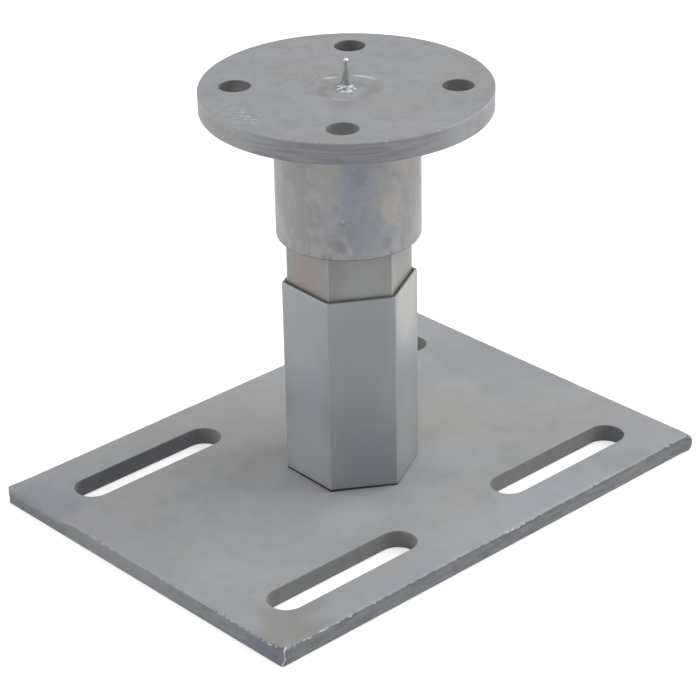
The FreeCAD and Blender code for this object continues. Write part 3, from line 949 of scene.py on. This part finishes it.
# Depth and width of the painted highlight line on the upper rim and of the painted shade line under it.
HEAD_HIGHLIGHT_LINE = (0.15 * MM, 0.3 * MM)
HEAD_SHADE_LINE = (0.62 * MM, 0.28 * MM)
HEAD_ACROSS_VIEW = math.radians(-42.7)
HEAD_SCUFF = (-51 * MM, 7 * MM, 181.3 * MM)
# Patches of tone: middle in millimetres, squeeze, reach, strength and hue; the last is painted shade on
# the plate just outside the crown's front edge.
HEAD_CLOUDS_AND_SHADE = (
    ((-58, 16, 175.5), (1, 1, 4), 26, 0.9, (0.288, 0.273, 0.26)),
    ((30, -52, 175.5), (1, 1, 4), 26, 0.9, (0.277, 0.27, 0.264)),
    ((-13.5, -12.5, 181), (1, 1, 1), 8, 0.45, (0.24, 0.24, 0.245)))
HEAD_EDGE_CLOUDS = (((-14, -57, 176), (1, 1, 1), 22, 0.8, (0.345, 0.338, 0.352)),)
# Painted light on the walls of the holes: paler patches, each a middle in millimetres, squeeze, reach,
# strength and hue.
HEAD_WALL_LIGHT = (
    ((-31.8, -31.8, 177), (1, 1, 1), 20, 1.0, (0.235, 0.243, 0.254)),
    ((-25.8, 34, 176), (1, 1, 1), 6, 0.8, (0.27, 0.278, 0.275)),
    ((38.5, -34, 176), (1, 1, 1), 6, 0.8, (0.27, 0.275, 0.275)),
    ((38.5, 30, 176), (1, 1, 1), 6, 0.6, (0.25, 0.24, 0.235)),
    ((-25.8, -34.5, 176), (1, 1, 1), 6, 0.7, (0.29, 0.30, 0.305)))

HEAD_ZINC = ((0.330, 0.337, 0.352), (0.312, 0.327, 0.351), (0.323, 0.312, 0.305), (0.25, 0.255, 0.26))
HEAD_SCRATCH = (0.68, 0.69, 0.70)
HEAD_WALL = (0.185, 0.175, 0.176)
HEAD_CUT_PALE = (0.29, 0.293, 0.31)
HEAD_CUT_DARK = (0.215, 0.22, 0.242)


def level(values):
    """Rows with one value each, the same all the way round the head."""
    return np.broadcast_to(column(values), (len(values), HEAD_STEPS))


def turn_gap(turn, other):
    """The angle from one direction to another, wrapped to lie within half a turn either way."""
    return (turn - other + math.pi) % (2 * math.pi) - math.pi


head_low, head_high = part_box("head_plate")
head_bottom, head_top = head_low[2], head_high[2]
head_path, head_away = ring_path(HEAD_RADIUS, HEAD_STEPS)
head_round = np.linspace(0, 1, HEAD_STEPS, endpoint=False)
head_turn = head_round * 2 * math.pi

# Rows run from the underside round the rolled lower rim, up the edge and over the upper rim.
curl = np.linspace(0, math.pi / 2, 5)
wavy = HEAD_EDGE_WAVE * bracelet(head_round, 10, 160, 11)
break_size = HEAD_RIM_BREAK * (1.3 + bracelet(head_round, 4, 90, 12))
head_inset = np.vstack([
    level([HEAD_ROLL + RIM_FLAT]), level(HEAD_ROLL * (1 - np.sin(curl))),
    HEAD_EDGE_WAVE + wavy, HEAD_EDGE_WAVE / 2 - 0.5 * wavy, level([0, 0, 0]),
    column(1 - np.cos(curl)) * break_size, break_size + RIM_FLAT])
head_height = np.vstack([
    level([head_bottom]), level(head_bottom + HEAD_ROLL * (1 - np.cos(curl))),
    level([head_bottom + 3 * MM, head_bottom + 5.5 * MM]),
    level([head_top - 1.5 * MM, head_top - 1.0 * MM, head_top - 0.75 * MM]),
    head_top - column(1 - np.sin(curl)) * break_size, level([head_top])])
head_rim = carried(head_path, head_away, -head_inset, head_height)

# The cut face is bare on its streaked side, towards the camera, where its darker colour is partly
# painted shade, under a painted shade line. Painted highlights glint along the upper rim all round.
from_side = np.degrees(np.abs(turn_gap(head_turn, math.radians(STREAKED_SHADED_SIDE))))
streaked_and_shaded = (STREAKED_SHADED_HALF - from_side) / STREAKED_SHADED_FADE + 0.5 * bracelet(head_round, 4, 24, 14)
streaked_and_shaded = np.clip(streaked_and_shaded, 0, 1)
head_cut = np.clip((head_top - break_size * 1.2 - head_height) / (0.15 * MM), 0, 1)
head_cut[:3] = 0
head_cut = head_cut * (0.15 + 0.85 * streaked_and_shaded)
# Painted highlight spots and glints along the upper rim.
glint_gaps = turn_gap(head_turn, column(np.radians(HEAD_GLINT_SPOTS))) * HEAD_RADIUS
glint_spots = bell(glint_gaps, HEAD_GLINT_LENGTH).sum(axis=0)
glint = 0.3 * np.clip(0.35 + bracelet(head_round, 3, 60, 13), 0, 1)
on_rim = bell(head_height - head_top + HEAD_HIGHLIGHT_LINE[0], HEAD_HIGHLIGHT_LINE[1])
head_highlight = np.clip((0.6 * glint_spots + glint) * on_rim, 0, 1)
head_highlight[-2:] = 0
# A painted shade line under the rim on the streaked side.
under_rim = bell(head_height - head_top + HEAD_SHADE_LINE[0], HEAD_SHADE_LINE[1])
rim_shade_line = 0.55 * under_rim * streaked_and_shaded * np.clip(0.6 + bracelet(head_round, 10, 140, 15), 0, 1)

hole_reach = HEAD_HOLE_CIRCLE / math.sqrt(2)
hole_paths = [ring_path(HEAD_HOLE_RADIUS, 64, side_x * hole_reach, side_y * hole_reach)
              for side_x in (-1, 1) for side_y in (-1, 1)]
holes = [opening(*path, head_bottom, head_top, HEAD_HOLE_BREAK) for path in hole_paths]
holes.append(opening(*ring_path(SPINDLE_RADIUS, ROUND_STEPS), head_bottom, head_top,
                     WELDED_EDGE_BREAK))
head_marks = {"sheared_edge": head_cut, "punched_wall_and_shade": rim_shade_line, "bright_zinc_and_highlight": head_highlight}
head_plate = piece("head_plate_galvanised", pierced(head_rim, head_marks, holes, 6 * MM), "head",
                   "head_plate")

head, head_colour, spots, grain = galvanised("galvanised_head", *HEAD_ZINC, seed=3, bloom=0.03)
scuffed = head.part(head.from_spot(HEAD_SCUFF, (1.5, 0.75, 0.2)), 6 * MM, 12 * MM, 1.0, 0.0)
scratches = head.mottle(1.8 * MM, 4.0, stretch=(2.4, 1, 1), rough=0.7, swing=HEAD_ACROSS_VIEW)
scratches = head.part(scratches, 0.55, 0.63)
head_colour = head.clouded(head_colour, HEAD_CLOUDS_AND_SHADE, 4 * MM, 1.2)
head_colour = head.blend(scuffed * scratches * 0.6, head_colour, HEAD_SCRATCH)
head_layers = head.mottle(7 * MM, 4.0, stretch=(2.2, 2.2, 0.14), rough=0.6)
# The hole walls carry painted light.
head_colour, head_rough = cut_flakes_and_highlights(
    head, head_colour, head.clouded(HEAD_WALL, HEAD_WALL_LIGHT, 8 * MM, 0.3),
    head.clouded(HEAD_CUT_PALE, HEAD_EDGE_CLOUDS, 8 * MM, 0.5), HEAD_CUT_DARK,
    head.part(spots, 0.3, 0.7, 0.5, 0.62), head_layers)
head_normal = head.relief(grain, 0.03 * MM, head.relief(spots, 0.08 * MM))
head_plate.data.materials.append(head.coat(head_colour, head_rough, 0.3, head_normal))


# Weld over the upper spindle's end: a low crown run on in a circle, so that a raised ring
# stands about two thirds of the way out, galvanised along with the plate.

CROWN_RADIUS = 16.6 * MM
CROWN_HEIGHT = 0.42 * MM
CROWN_SUNK = 0.03 * MM
CROWN_FOOT_DEPTH = 0.6 * MM
CROWN_RIPPLE = 0.1 * MM
CROWN_RIPPLES = 40
CROWN_RING = ((-168, 13.5), (-152, 15.4), (-139, 15.7), (-125, 15.1), (-105, 12.5), (-14, 13.0),
              (9, 11.2), (32, 10.0), (74, 9.2), (99, 11.3))
CROWN_RING_WIDTH = 0.85 * MM
CROWN_RING_HEIGHT = 0.2 * MM
CROWN_APRON = (-6.0 * MM, -7.6 * MM, 181.6 * MM)
# Where the ring stands higher and carries painted highlights: middle angle and half width in degrees,
# strength.
CROWN_RAISED_HIGHLIGHT_ARCS = ((9, 22, 1.2), (86, 14, 0.9), (-142, 15, 0.25))
CROWN_TONES = ((0.305, 0.31, 0.318), (0.262, 0.267, 0.272))
CROWN_EDGE = (0.32, 0.326, 0.337)
CROWN_APRON_TONE = (0.375, 0.38, 0.405)
CROWN_HIGHLIGHT = (0.62, 0.64, 0.65)

crown_reach = column(np.linspace(1, 0, 60))
ring_radius = np.interp(np.degrees(weld_turn), *zip(*CROWN_RING), period=360) * MM
ring = bell(crown_reach * CROWN_RADIUS - ring_radius, CROWN_RING_WIDTH)
arcs = sum(shine * np.exp(-(np.degrees(turn_gap(weld_turn, math.radians(middle))) / half) ** 4)
           for middle, half, shine in CROWN_RAISED_HIGHLIGHT_ARCS)
ripple = CROWN_RIPPLE * ripples(weld_turn, 6 * crown_reach, CROWN_RIPPLES)
crown_height = (head_top - CROWN_SUNK + CROWN_HEIGHT * (1 - crown_reach ** 2)
                + CROWN_RING_HEIGHT * ring * (0.3 + 0.7 * arcs)
                + ripple * crown_reach * (1 - crown_reach))
crown_top = around(crown_reach * CROWN_RADIUS, crown_height, weld_turn)
crown_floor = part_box("head_plug_weld")[0][2]
crown_foot = around(column([0, SPINDLE_RADIUS, SPINDLE_RADIUS]),
                    column([crown_floor, crown_floor, head_top - CROWN_FOOT_DEPTH]), weld_turn)
crown_rows = np.concatenate([crown_foot, crown_top])
# Painted highlights on the ring's arcs.
crown_highlight = np.zeros(crown_rows.shape[:2])
crown_highlight[len(crown_foot):] = ring * arcs
head_plug_weld = piece("head_plug_weld_ringed", [wrapped(crown_rows, {"bright_zinc_and_highlight": crown_highlight})],
                       "head", "head_plug_weld")

crown = finish_for("galvanised_weld_crown")
crown_spots = crown.mottle(5 * MM, 4.0)
from_middle = crown.from_axis()
crown_colour = crown.blend(crown.part(crown_spots, 0.35, 0.65), *CROWN_TONES)
crown_colour = crown.blend(crown.part(from_middle, 14 * MM, CROWN_RADIUS), crown_colour, CROWN_EDGE)
apron = crown.part(crown.from_spot(CROWN_APRON), 2.5 * MM, 7 * MM, 0.75, 0.0)
crown_colour = crown.blend(apron, crown_colour, CROWN_APRON_TONE)
# The painted highlights.
crown_colour = crown.blend(crown.mark("bright_zinc_and_highlight"), crown_colour, CROWN_HIGHLIGHT)
crown_grain = crown.mottle(1.0 * MM, 4.0)
crown.coat(crown_colour, crown.part(crown_spots, 0.3, 0.7, 0.42, 0.58), 0.35,
           crown.relief(crown_grain, 0.03 * MM))
head_plug_weld.data.materials.append(crown.owner)


# Sleeve: a cut of round steel tube welded under the head plate, which slides down over the
# nut and keeps water off the threads. Its zinc has run and clouded blue and pink.

SLEEVE_RADIUS = 30.15 * MM
SLEEVE_BORE = 27.25 * MM
SLEEVE_STEPS = 240
SLEEVE_BREAK = 0.5 * MM
SLEEVE_RUNS = ((-132.3, 122.5 * MM, 4 * MM), (-76, 124 * MM, 7 * MM), (-160, 124 * MM, 5 * MM))
SLEEVE_RUN_WIDTH = 1.0 * MM
SLEEVE_RUN_DEPTH = 0.12 * MM
# Angles of darker painted shade spots on the lower rim.
RIM_SHADE_SPOTS = (-147.5, -152.5, -98.1)
RIM_SHADE_SPOT_WIDTH = 0.7 * MM
RIM_SHADE_SPOT_DARK = 0.45
RIM_WAVE = 0.06 * MM
RIM_WAVE_FADE = 4 * MM
SLEEVE_BEAD_RIPPLES = 48
SLEEVE_CLOUDS = (
    ((-30, -2, 145), (1, 1, 0.4), 16, 0.85, (0.29, 0.281, 0.288)),
    ((8, -29, 145), (1, 1, 0.4), 14, 0.85, (0.31, 0.298, 0.293)),
    ((2, -30.1, 160), (1, 1, 0.8), 8, 0.6, (0.42, 0.39, 0.375)),
    ((-18.2, -24, 148), (1.1, 1.1, 0.7), 13, 0.95, (0.308, 0.333, 0.395)),
    ((-14.4, -26.5, 129), (0.9, 0.9, 1.1), 14, 0.85, (0.305, 0.322, 0.366)),
    ((-4, -29.9, 140), (1.3, 1.3, 0.8), 9.5, 0.85, (0.43, 0.40, 0.38)),
    ((-30.1, 1.2, 143), (1.2, 1.2, 0.6), 4.5, 0.45, (0.40, 0.34, 0.33)),
    ((-26.5, -14, 152), (1, 1, 0.5), 10, 0.6, (0.41, 0.405, 0.39)),
    ((-17, -25, 154), (1, 1, 0.8), 4.5, 0.35, (0.21, 0.23, 0.285)),
    ((-23.5, -19, 124.5), (1, 1, 0.7), 3.5, 0.6, (0.22, 0.23, 0.25)),
    ((-6, -29.5, 123), (1, 1, 0.7), 3, 0.6, (0.23, 0.24, 0.26)),
    ((-20.3, -22.3, 122.5), (1.3, 1.3, 0.5), 2.2, 0.8, (0.46, 0.46, 0.45)),
    ((-22.3, -20.3, 134), (1, 1, 1), 2, 0.5, (0.23, 0.24, 0.26)),
    ((-22.1, -20.5, 134.8), (1, 1, 1), 0.9, 0.8, (0.46, 0.46, 0.46)))

SLEEVE_ZINC = ((0.39, 0.39, 0.39), (0.355, 0.365, 0.386), (0.39, 0.377, 0.37), (0.285, 0.295, 0.31))
SLEEVE_BRUSHED = (0.47, 0.465, 0.46)
SLEEVE_STAIN = (0.27, 0.28, 0.315)
SLEEVE_PALE = (0.46, 0.46, 0.45)
SLEEVE_SHADE = (0.06, 0.06, 0.06)
SLEEVE_CUT = (0.2, 0.2, 0.2)

sleeve_low, sleeve_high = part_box("head_sleeve")
sleeve_turn = turns(SLEEVE_STEPS)[None]
sleeve_round = sleeve_turn[0] / (2 * math.pi)
rim_wave = RIM_WAVE * bracelet(sleeve_round, 4, 80, 41)

# Rows run up the outside, down the bore and outwards round the broken lower rim.
outer_heights = column(np.linspace(sleeve_low[2] + SLEEVE_BREAK, sleeve_high[2], 50))
runs = sum(np.exp(-(turn_gap(sleeve_turn, math.radians(angle)) * SLEEVE_RADIUS / SLEEVE_RUN_WIDTH) ** 2
                  - ((outer_heights - height) / length) ** 2)
           for angle, height, length in SLEEVE_RUNS)
rim_share = np.exp(-(outer_heights - sleeve_low[2]) / RIM_WAVE_FADE)
sleeve_outside = around(SLEEVE_RADIUS + rim_wave * rim_share + SLEEVE_RUN_DEPTH * runs, outer_heights,
                        sleeve_turn)
bore_heights = column(np.linspace(sleeve_high[2], sleeve_low[2] + SLEEVE_BREAK, 8))
sleeve_bore = around(SLEEVE_BORE, bore_heights, sleeve_turn)
rim_in = around(SLEEVE_BORE + SLEEVE_BREAK * column(1 - np.cos(curl[1:])),
                sleeve_low[2] + SLEEVE_BREAK * column(1 - np.sin(curl[1:])), sleeve_turn)
rim_out = around(SLEEVE_RADIUS + rim_wave - SLEEVE_BREAK * column(1 - np.sin(curl[:-1])),
                 sleeve_low[2] + SLEEVE_BREAK * column(1 - np.cos(curl[:-1])), sleeve_turn)
sleeve_rows = np.concatenate([sleeve_outside, sleeve_bore, rim_in, rim_out])

# The bore and its rim are painted dark as shade, darker still at three spots, and the rim has a painted
# highlight.
rim_glint = np.zeros(sleeve_rows.shape[:2])
rim_glint[:1] = 0.4 * np.clip(0.3 + bracelet(sleeve_round, 3, 50, 42), 0, 1)
rim_shade = np.zeros(sleeve_rows.shape[:2])
rim_shade[len(sleeve_outside):-1] = 1
rim_shade[-1] = 0.6
for angle in RIM_SHADE_SPOTS:
    shade_spot = bell(turn_gap(sleeve_turn, math.radians(angle)) * SLEEVE_RADIUS, RIM_SHADE_SPOT_WIDTH)
    rim_shade[:3] = np.maximum(rim_shade[:3], RIM_SHADE_SPOT_DARK * shade_spot * column([1, 0.8, 0.3]))
sleeve_marks = {"punched_wall_and_shade": rim_shade, "bright_zinc_and_highlight": rim_glint}
head_sleeve = piece("head_sleeve_galvanised", [wrapped(sleeve_rows, sleeve_marks, close_rows=True)],
                    "head", "head_sleeve")

sleeve, sleeve_colour, spots, grain = galvanised(
    "galvanised_sleeve", *SLEEVE_ZINC, seed=5, bloom=0.022)
sleeve_colour = sleeve.clouded(sleeve_colour, SLEEVE_CLOUDS, 6 * MM, 2.0)
brushed = sleeve.mottle(1.6 * MM, 3.0, stretch=(1, 1, 6))
sleeve_colour = sleeve.blend(sleeve.part(brushed, 0.4, 0.7) * 0.1, sleeve_colour, SLEEVE_BRUSHED)
stains = sleeve.mottle(3.2 * MM, 5.0, stretch=(1, 1, 1.5), shift=(4, 1, 2), rough=0.68)
sleeve_colour = sleeve.blend(sleeve.part(stains, 0.5, 0.68) * 0.22, sleeve_colour, SLEEVE_STAIN)
sleeve_colour = sleeve.blend(sleeve.part(stains, 0.32, 0.46, 0.22, 0.0), sleeve_colour, SLEEVE_PALE)
# Painted shade in the bore and round the lower rim.
sleeve_colour, sleeve_rough = cut_flakes_and_highlights(
    sleeve, sleeve_colour, SLEEVE_SHADE, SLEEVE_CUT, SLEEVE_CUT,
    sleeve.part(spots, 0.3, 0.7, 0.5, 0.62), grain)
sleeve_normal = sleeve.relief(grain, 0.03 * MM, sleeve.relief(spots, 0.06 * MM))
head_sleeve.data.materials.append(sleeve.coat(sleeve_colour, sleeve_rough, 0.28, sleeve_normal))

bead_low, bead_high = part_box("sleeve_weld")
sleeve_bead = fillet_bead(SLEEVE_BORE, bead_high[2] - bead_low[2], 0.0, bead_high[2], -1,
                          SLEEVE_BEAD_RIPPLES, 51)
sleeve_weld = piece("sleeve_weld_rippled", [wrapped(sleeve_bead, close_rows=True)], "head",
                    "sleeve_weld", crease=50)
sleeve_weld.data.materials.append(weld.owner)


# Centring spike: a stub of steel drawn to a point, tacked to the crown with a small bright
# puddle of weld. It marks the post's foot and keeps the post from slipping.

SPIKE_TIP_RADIUS = 0.97 * MM
SPIKE_FLARE = 1.1 * MM
SPIKE_WANDER = 0.13 * MM
PUDDLE_RADIUS = 4.7 * MM
PUDDLE_HEIGHT = 0.7 * MM
PUDDLE_MIDDLE = (-2.4 * MM, -2.6 * MM)
PUDDLE_LONG_WAY = math.radians(-132.7)

SPIKE_STEPS = 40
SPIKE_NECK = 0.93
SPIKE_TIP_SHARE = 0.07
SPIKE_TONES = ((0.34, 0.355, 0.345), (0.22, 0.24, 0.235))
SPIKE_UPPER = (0.43, 0.44, 0.44)
SPIKE_TIP_HIGHLIGHT = (0.85, 0.86, 0.87)
PUDDLE_SUNK = 0.1 * MM
PUDDLE_LUMPS = 0.2 * MM
PUDDLE_TONES = ((0.70, 0.71, 0.74), (0.36, 0.37, 0.39))
PUDDLE_PITS = (0.06, 0.06, 0.06)

spike_low, spike_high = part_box("centring_spike")
spike_turn = turns(SPIKE_STEPS)[None]
spike_round = spike_turn[0] / (2 * math.pi)
up_spike = column(np.linspace(0, 1, 40))
over_neck = up_spike - SPIKE_NECK
tip = np.sqrt(np.clip(1 - (over_neck / SPIKE_TIP_SHARE).clip(0) ** 2, 0, 1))
taper = SPIKE_TIP_RADIUS * (0.95 + 0.2 * bell(over_neck, 0.05)) + SPIKE_FLARE * (1 - up_spike) ** 1.3
facets = SPIKE_WANDER * (bracelet(spike_round, 2, 6, 61) * np.sin(4 * up_spike + 1)
                         + bracelet(spike_round, 2, 9, 62) * np.cos(9 * up_spike))
spike_heights = spike_low[2] + (spike_high[2] - spike_low[2]) * up_spike
spike_side = around((taper + facets) * tip, spike_heights, spike_turn)
spike_base = around(0.0, spike_low[2], spike_turn)
spike_rows = np.concatenate([spike_base, spike_side])
centring_spike = piece("centring_spike_drawn", [wrapped(spike_rows)], "head", "centring_spike")

spike = finish_for("spike_steel")
spike_cloud = spike.mottle(2.5 * MM, 4.0)
# A painted highlight on the tip.
tip_highlight = spike.part(spike.from_spot((0, 0, spike_high[2])), 0.6 * MM, 1.6 * MM, 1.0, 0.0)
spike_colour = spike.blend(spike.part(spike_cloud, 0.35, 0.65), *SPIKE_TONES)
upper_half = spike.part(spike.from_spot((0, 0, spike_high[2])), 3 * MM, 9 * MM, 0.8, 0.0)
spike_colour = spike.blend(upper_half, spike_colour, SPIKE_UPPER)
spike_colour = spike.blend(tip_highlight, spike_colour, SPIKE_TIP_HIGHLIGHT)
spike.coat(spike_colour, spike.part(spike_cloud, 0.3, 0.7, 0.35, 0.5), 0.4,
           spike.relief(spike_cloud, 0.1 * MM))
centring_spike.data.materials.append(spike.owner)

puddle_seat = head_top + CROWN_HEIGHT
puddle_edge = PUDDLE_RADIUS * (0.92 + 0.1 * bracelet(weld_round, 2, 14, 71)
                               + 0.14 * np.cos(2 * (weld_turn[0] - PUDDLE_LONG_WAY)))
puddle_reach = column(np.linspace(1, 0, 22))
lumps = PUDDLE_LUMPS * (bracelet(weld_round, 2, 9, 72) * np.sin(math.pi * puddle_reach)
                        + bracelet(weld_round, 3, 16, 73) * np.sin(3 * math.pi * puddle_reach))
swell = PUDDLE_HEIGHT * (1 - puddle_reach ** 2) ** 0.8 + lumps * (1 - puddle_reach ** 4)
puddle_top = around(puddle_reach * puddle_edge, puddle_seat - PUDDLE_SUNK + swell, weld_turn)
puddle_foot = around(0.0, head_top - PUDDLE_SUNK, weld_turn)
puddle_side = around(puddle_edge, head_top - PUDDLE_SUNK, weld_turn)
puddle_rows = np.concatenate([puddle_foot, puddle_side, puddle_top])
puddle_rows[..., :2] += PUDDLE_MIDDLE
spike_weld = piece("spike_weld_puddle", [wrapped(puddle_rows)], "head", "spike_weld", crease=60)

bright = finish_for("bright_weld")
bright_cloud = bright.mottle(1.4 * MM, 4.0)
bright_colour = bright.blend(bright.part(bright_cloud, 0.4, 0.6), *PUDDLE_TONES)
pits = bright.mottle(1.5 * MM, 3.0, stretch=(1.8, 1, 1), shift=(1, 2, 3), swing=HEAD_ACROSS_VIEW)
bright_colour = bright.blend(bright.part(pits, 0.54, 0.61) * 0.9, bright_colour, PUDDLE_PITS)
bright.coat(bright_colour, bright.part(bright_cloud, 0.3, 0.7, 0.22, 0.45), 0.7,
            bright.relief(bright_cloud, 0.15 * MM))
spike_weld.data.materials.append(bright.owner)


# Studio: a white floor and sky that the camera and reflections see, a lamp panel on each
# side, the right one stronger, and one overhead. Nothing here belongs to the object.

SKY_LEVEL = 0.28
FLOOR_SIZE = 6.0
FLOOR_DROP = 0.0005
FLOOR_COLOUR = (0.8, 0.8, 0.8)
FLOOR_GLOW = 0.6
FLOOR_FADE = (0.5, 0.9)
CAMERA_PLACE = (-0.66435, -0.71853, 0.56886)
CAMERA_AZIMUTH = -42.7281
CAMERA_ELEVATION = 27.4012
CAMERA_ROLL = -1.0916
CAMERA_LENS = 134.03
SENSOR_WIDTH = 36.0


def seen_directly(finish):
    """1 for rays from the camera, from reflections and through glass, otherwise 0: the largest
    of the three."""
    kinds = [finish.node("ShaderNodeLightPath", output=output)
             for output in ("Is Camera Ray", "Is Glossy Ray", "Is Transmission Ray")]
    both = finish.node("ShaderNodeMath", {"operation": "MAXIMUM"}, {0: kinds[0], 1: kinds[1]})
    return finish.node("ShaderNodeMath", {"operation": "MAXIMUM"}, {0: both, 1: kinds[2]})


def looking_back(azimuth, elevation):
    """The direction from the object to a lamp or camera, from two angles in degrees. Along the
    floor it is the sine and minus the cosine of the azimuth, times the cosine of the elevation,
    and upwards it is the sine of the elevation."""
    turn, rise = math.radians(azimuth), math.radians(elevation)
    return Vector((math.sin(turn) * math.cos(rise), -math.cos(turn) * math.cos(rise), math.sin(rise)))


def lamp_panel(name, azimuth, elevation, distance, width, height, level):
    """A soft panel facing the column's middle from an angle round the camera's own direction.
    The level is the light it gives on a surface that faces it, where 1 shows white as white."""
    back = looking_back(CAMERA_AZIMUTH + azimuth, elevation)
    panel = bpy.data.lights.new(name, "AREA")
    panel.shape = "RECTANGLE"
    panel.size, panel.size_y = width, height
    panel.energy = level * math.pi ** 2 * distance ** 2
    lamp = bpy.data.objects.new(name, panel)
    lamp.rotation_mode = "QUATERNION"
    lamp.rotation_quaternion = back.to_track_quat("Z", "Y")
    lamp.location = Vector((0, 0, 0.1)) + back * distance
    bpy.context.scene.collection.objects.link(lamp)


lamp_panel("left_panel", -86, 16, 1.5, 1.4, 1.4, 0.48)
lamp_panel("right_panel", 103, 30, 1.5, 1.5, 1.5, 0.76)
lamp_panel("top_panel", 20, 80, 1.6, 2.4, 2.4, 0.27)

sky = bpy.data.worlds.new("studio_sky")
bpy.context.scene.world = sky
sky_finish = Finish(sky)
sky_nodes = sky.node_tree.nodes
sky_level = seen_directly(sky_finish) * (1 - SKY_LEVEL) + SKY_LEVEL
sky.node_tree.links.new(sky_level.socket, sky_nodes["Background"].inputs["Strength"])
sky_nodes["Background"].inputs["Color"].default_value = (1, 1, 1, 1)

half_floor = FLOOR_SIZE / 2
floor_mesh = bpy.data.meshes.new("studio_floor")
floor_mesh.from_pydata([(-half_floor, -half_floor, -FLOOR_DROP), (half_floor, -half_floor, -FLOOR_DROP),
                        (half_floor, half_floor, -FLOOR_DROP), (-half_floor, half_floor, -FLOOR_DROP)],
                       [], [(0, 1, 2, 3)])
floor = bpy.data.objects.new("studio_floor", floor_mesh)
bpy.context.scene.collection.objects.link(floor)
floor_finish = finish_for("white_floor")
floor_finish.coat(FLOOR_COLOUR, 1.0, 0.0)
floor_shader = floor_finish.tree.nodes["Principled BSDF"]
floor_shader.inputs["Specular IOR Level"].default_value = 0.0
floor_shader.inputs["Emission Strength"].default_value = 1.0
far_floor = floor_finish.part(floor_finish.from_axis(), *FLOOR_FADE, FLOOR_GLOW, 1.0)
floor_glow = seen_directly(floor_finish) * far_floor
floor_finish.tree.links.new(floor_glow.socket, floor_shader.inputs["Emission Color"])
floor_mesh.materials.append(floor_finish.owner)

back = looking_back(CAMERA_AZIMUTH, CAMERA_ELEVATION)
tilt = math.radians(CAMERA_ROLL)
level_right = (-back).cross(Vector((0, 0, 1))).normalized()
level_up = level_right.cross(-back)
right = level_right * math.cos(tilt) + level_up * math.sin(tilt)
up = level_up * math.cos(tilt) - level_right * math.sin(tilt)
camera_data = bpy.data.cameras.new("photographer")
camera_data.sensor_fit = "HORIZONTAL"
camera_data.sensor_width = SENSOR_WIDTH
camera_data.lens = CAMERA_LENS
camera = bpy.data.objects.new("photographer", camera_data)
camera.matrix_world = Matrix.Translation(CAMERA_PLACE) @ Matrix((right, up, back)).transposed().to_4x4()
bpy.context.scene.collection.objects.link(camera)
bpy.context.scene.camera = camera
bpy.context.scene.view_settings.view_transform = "Standard"
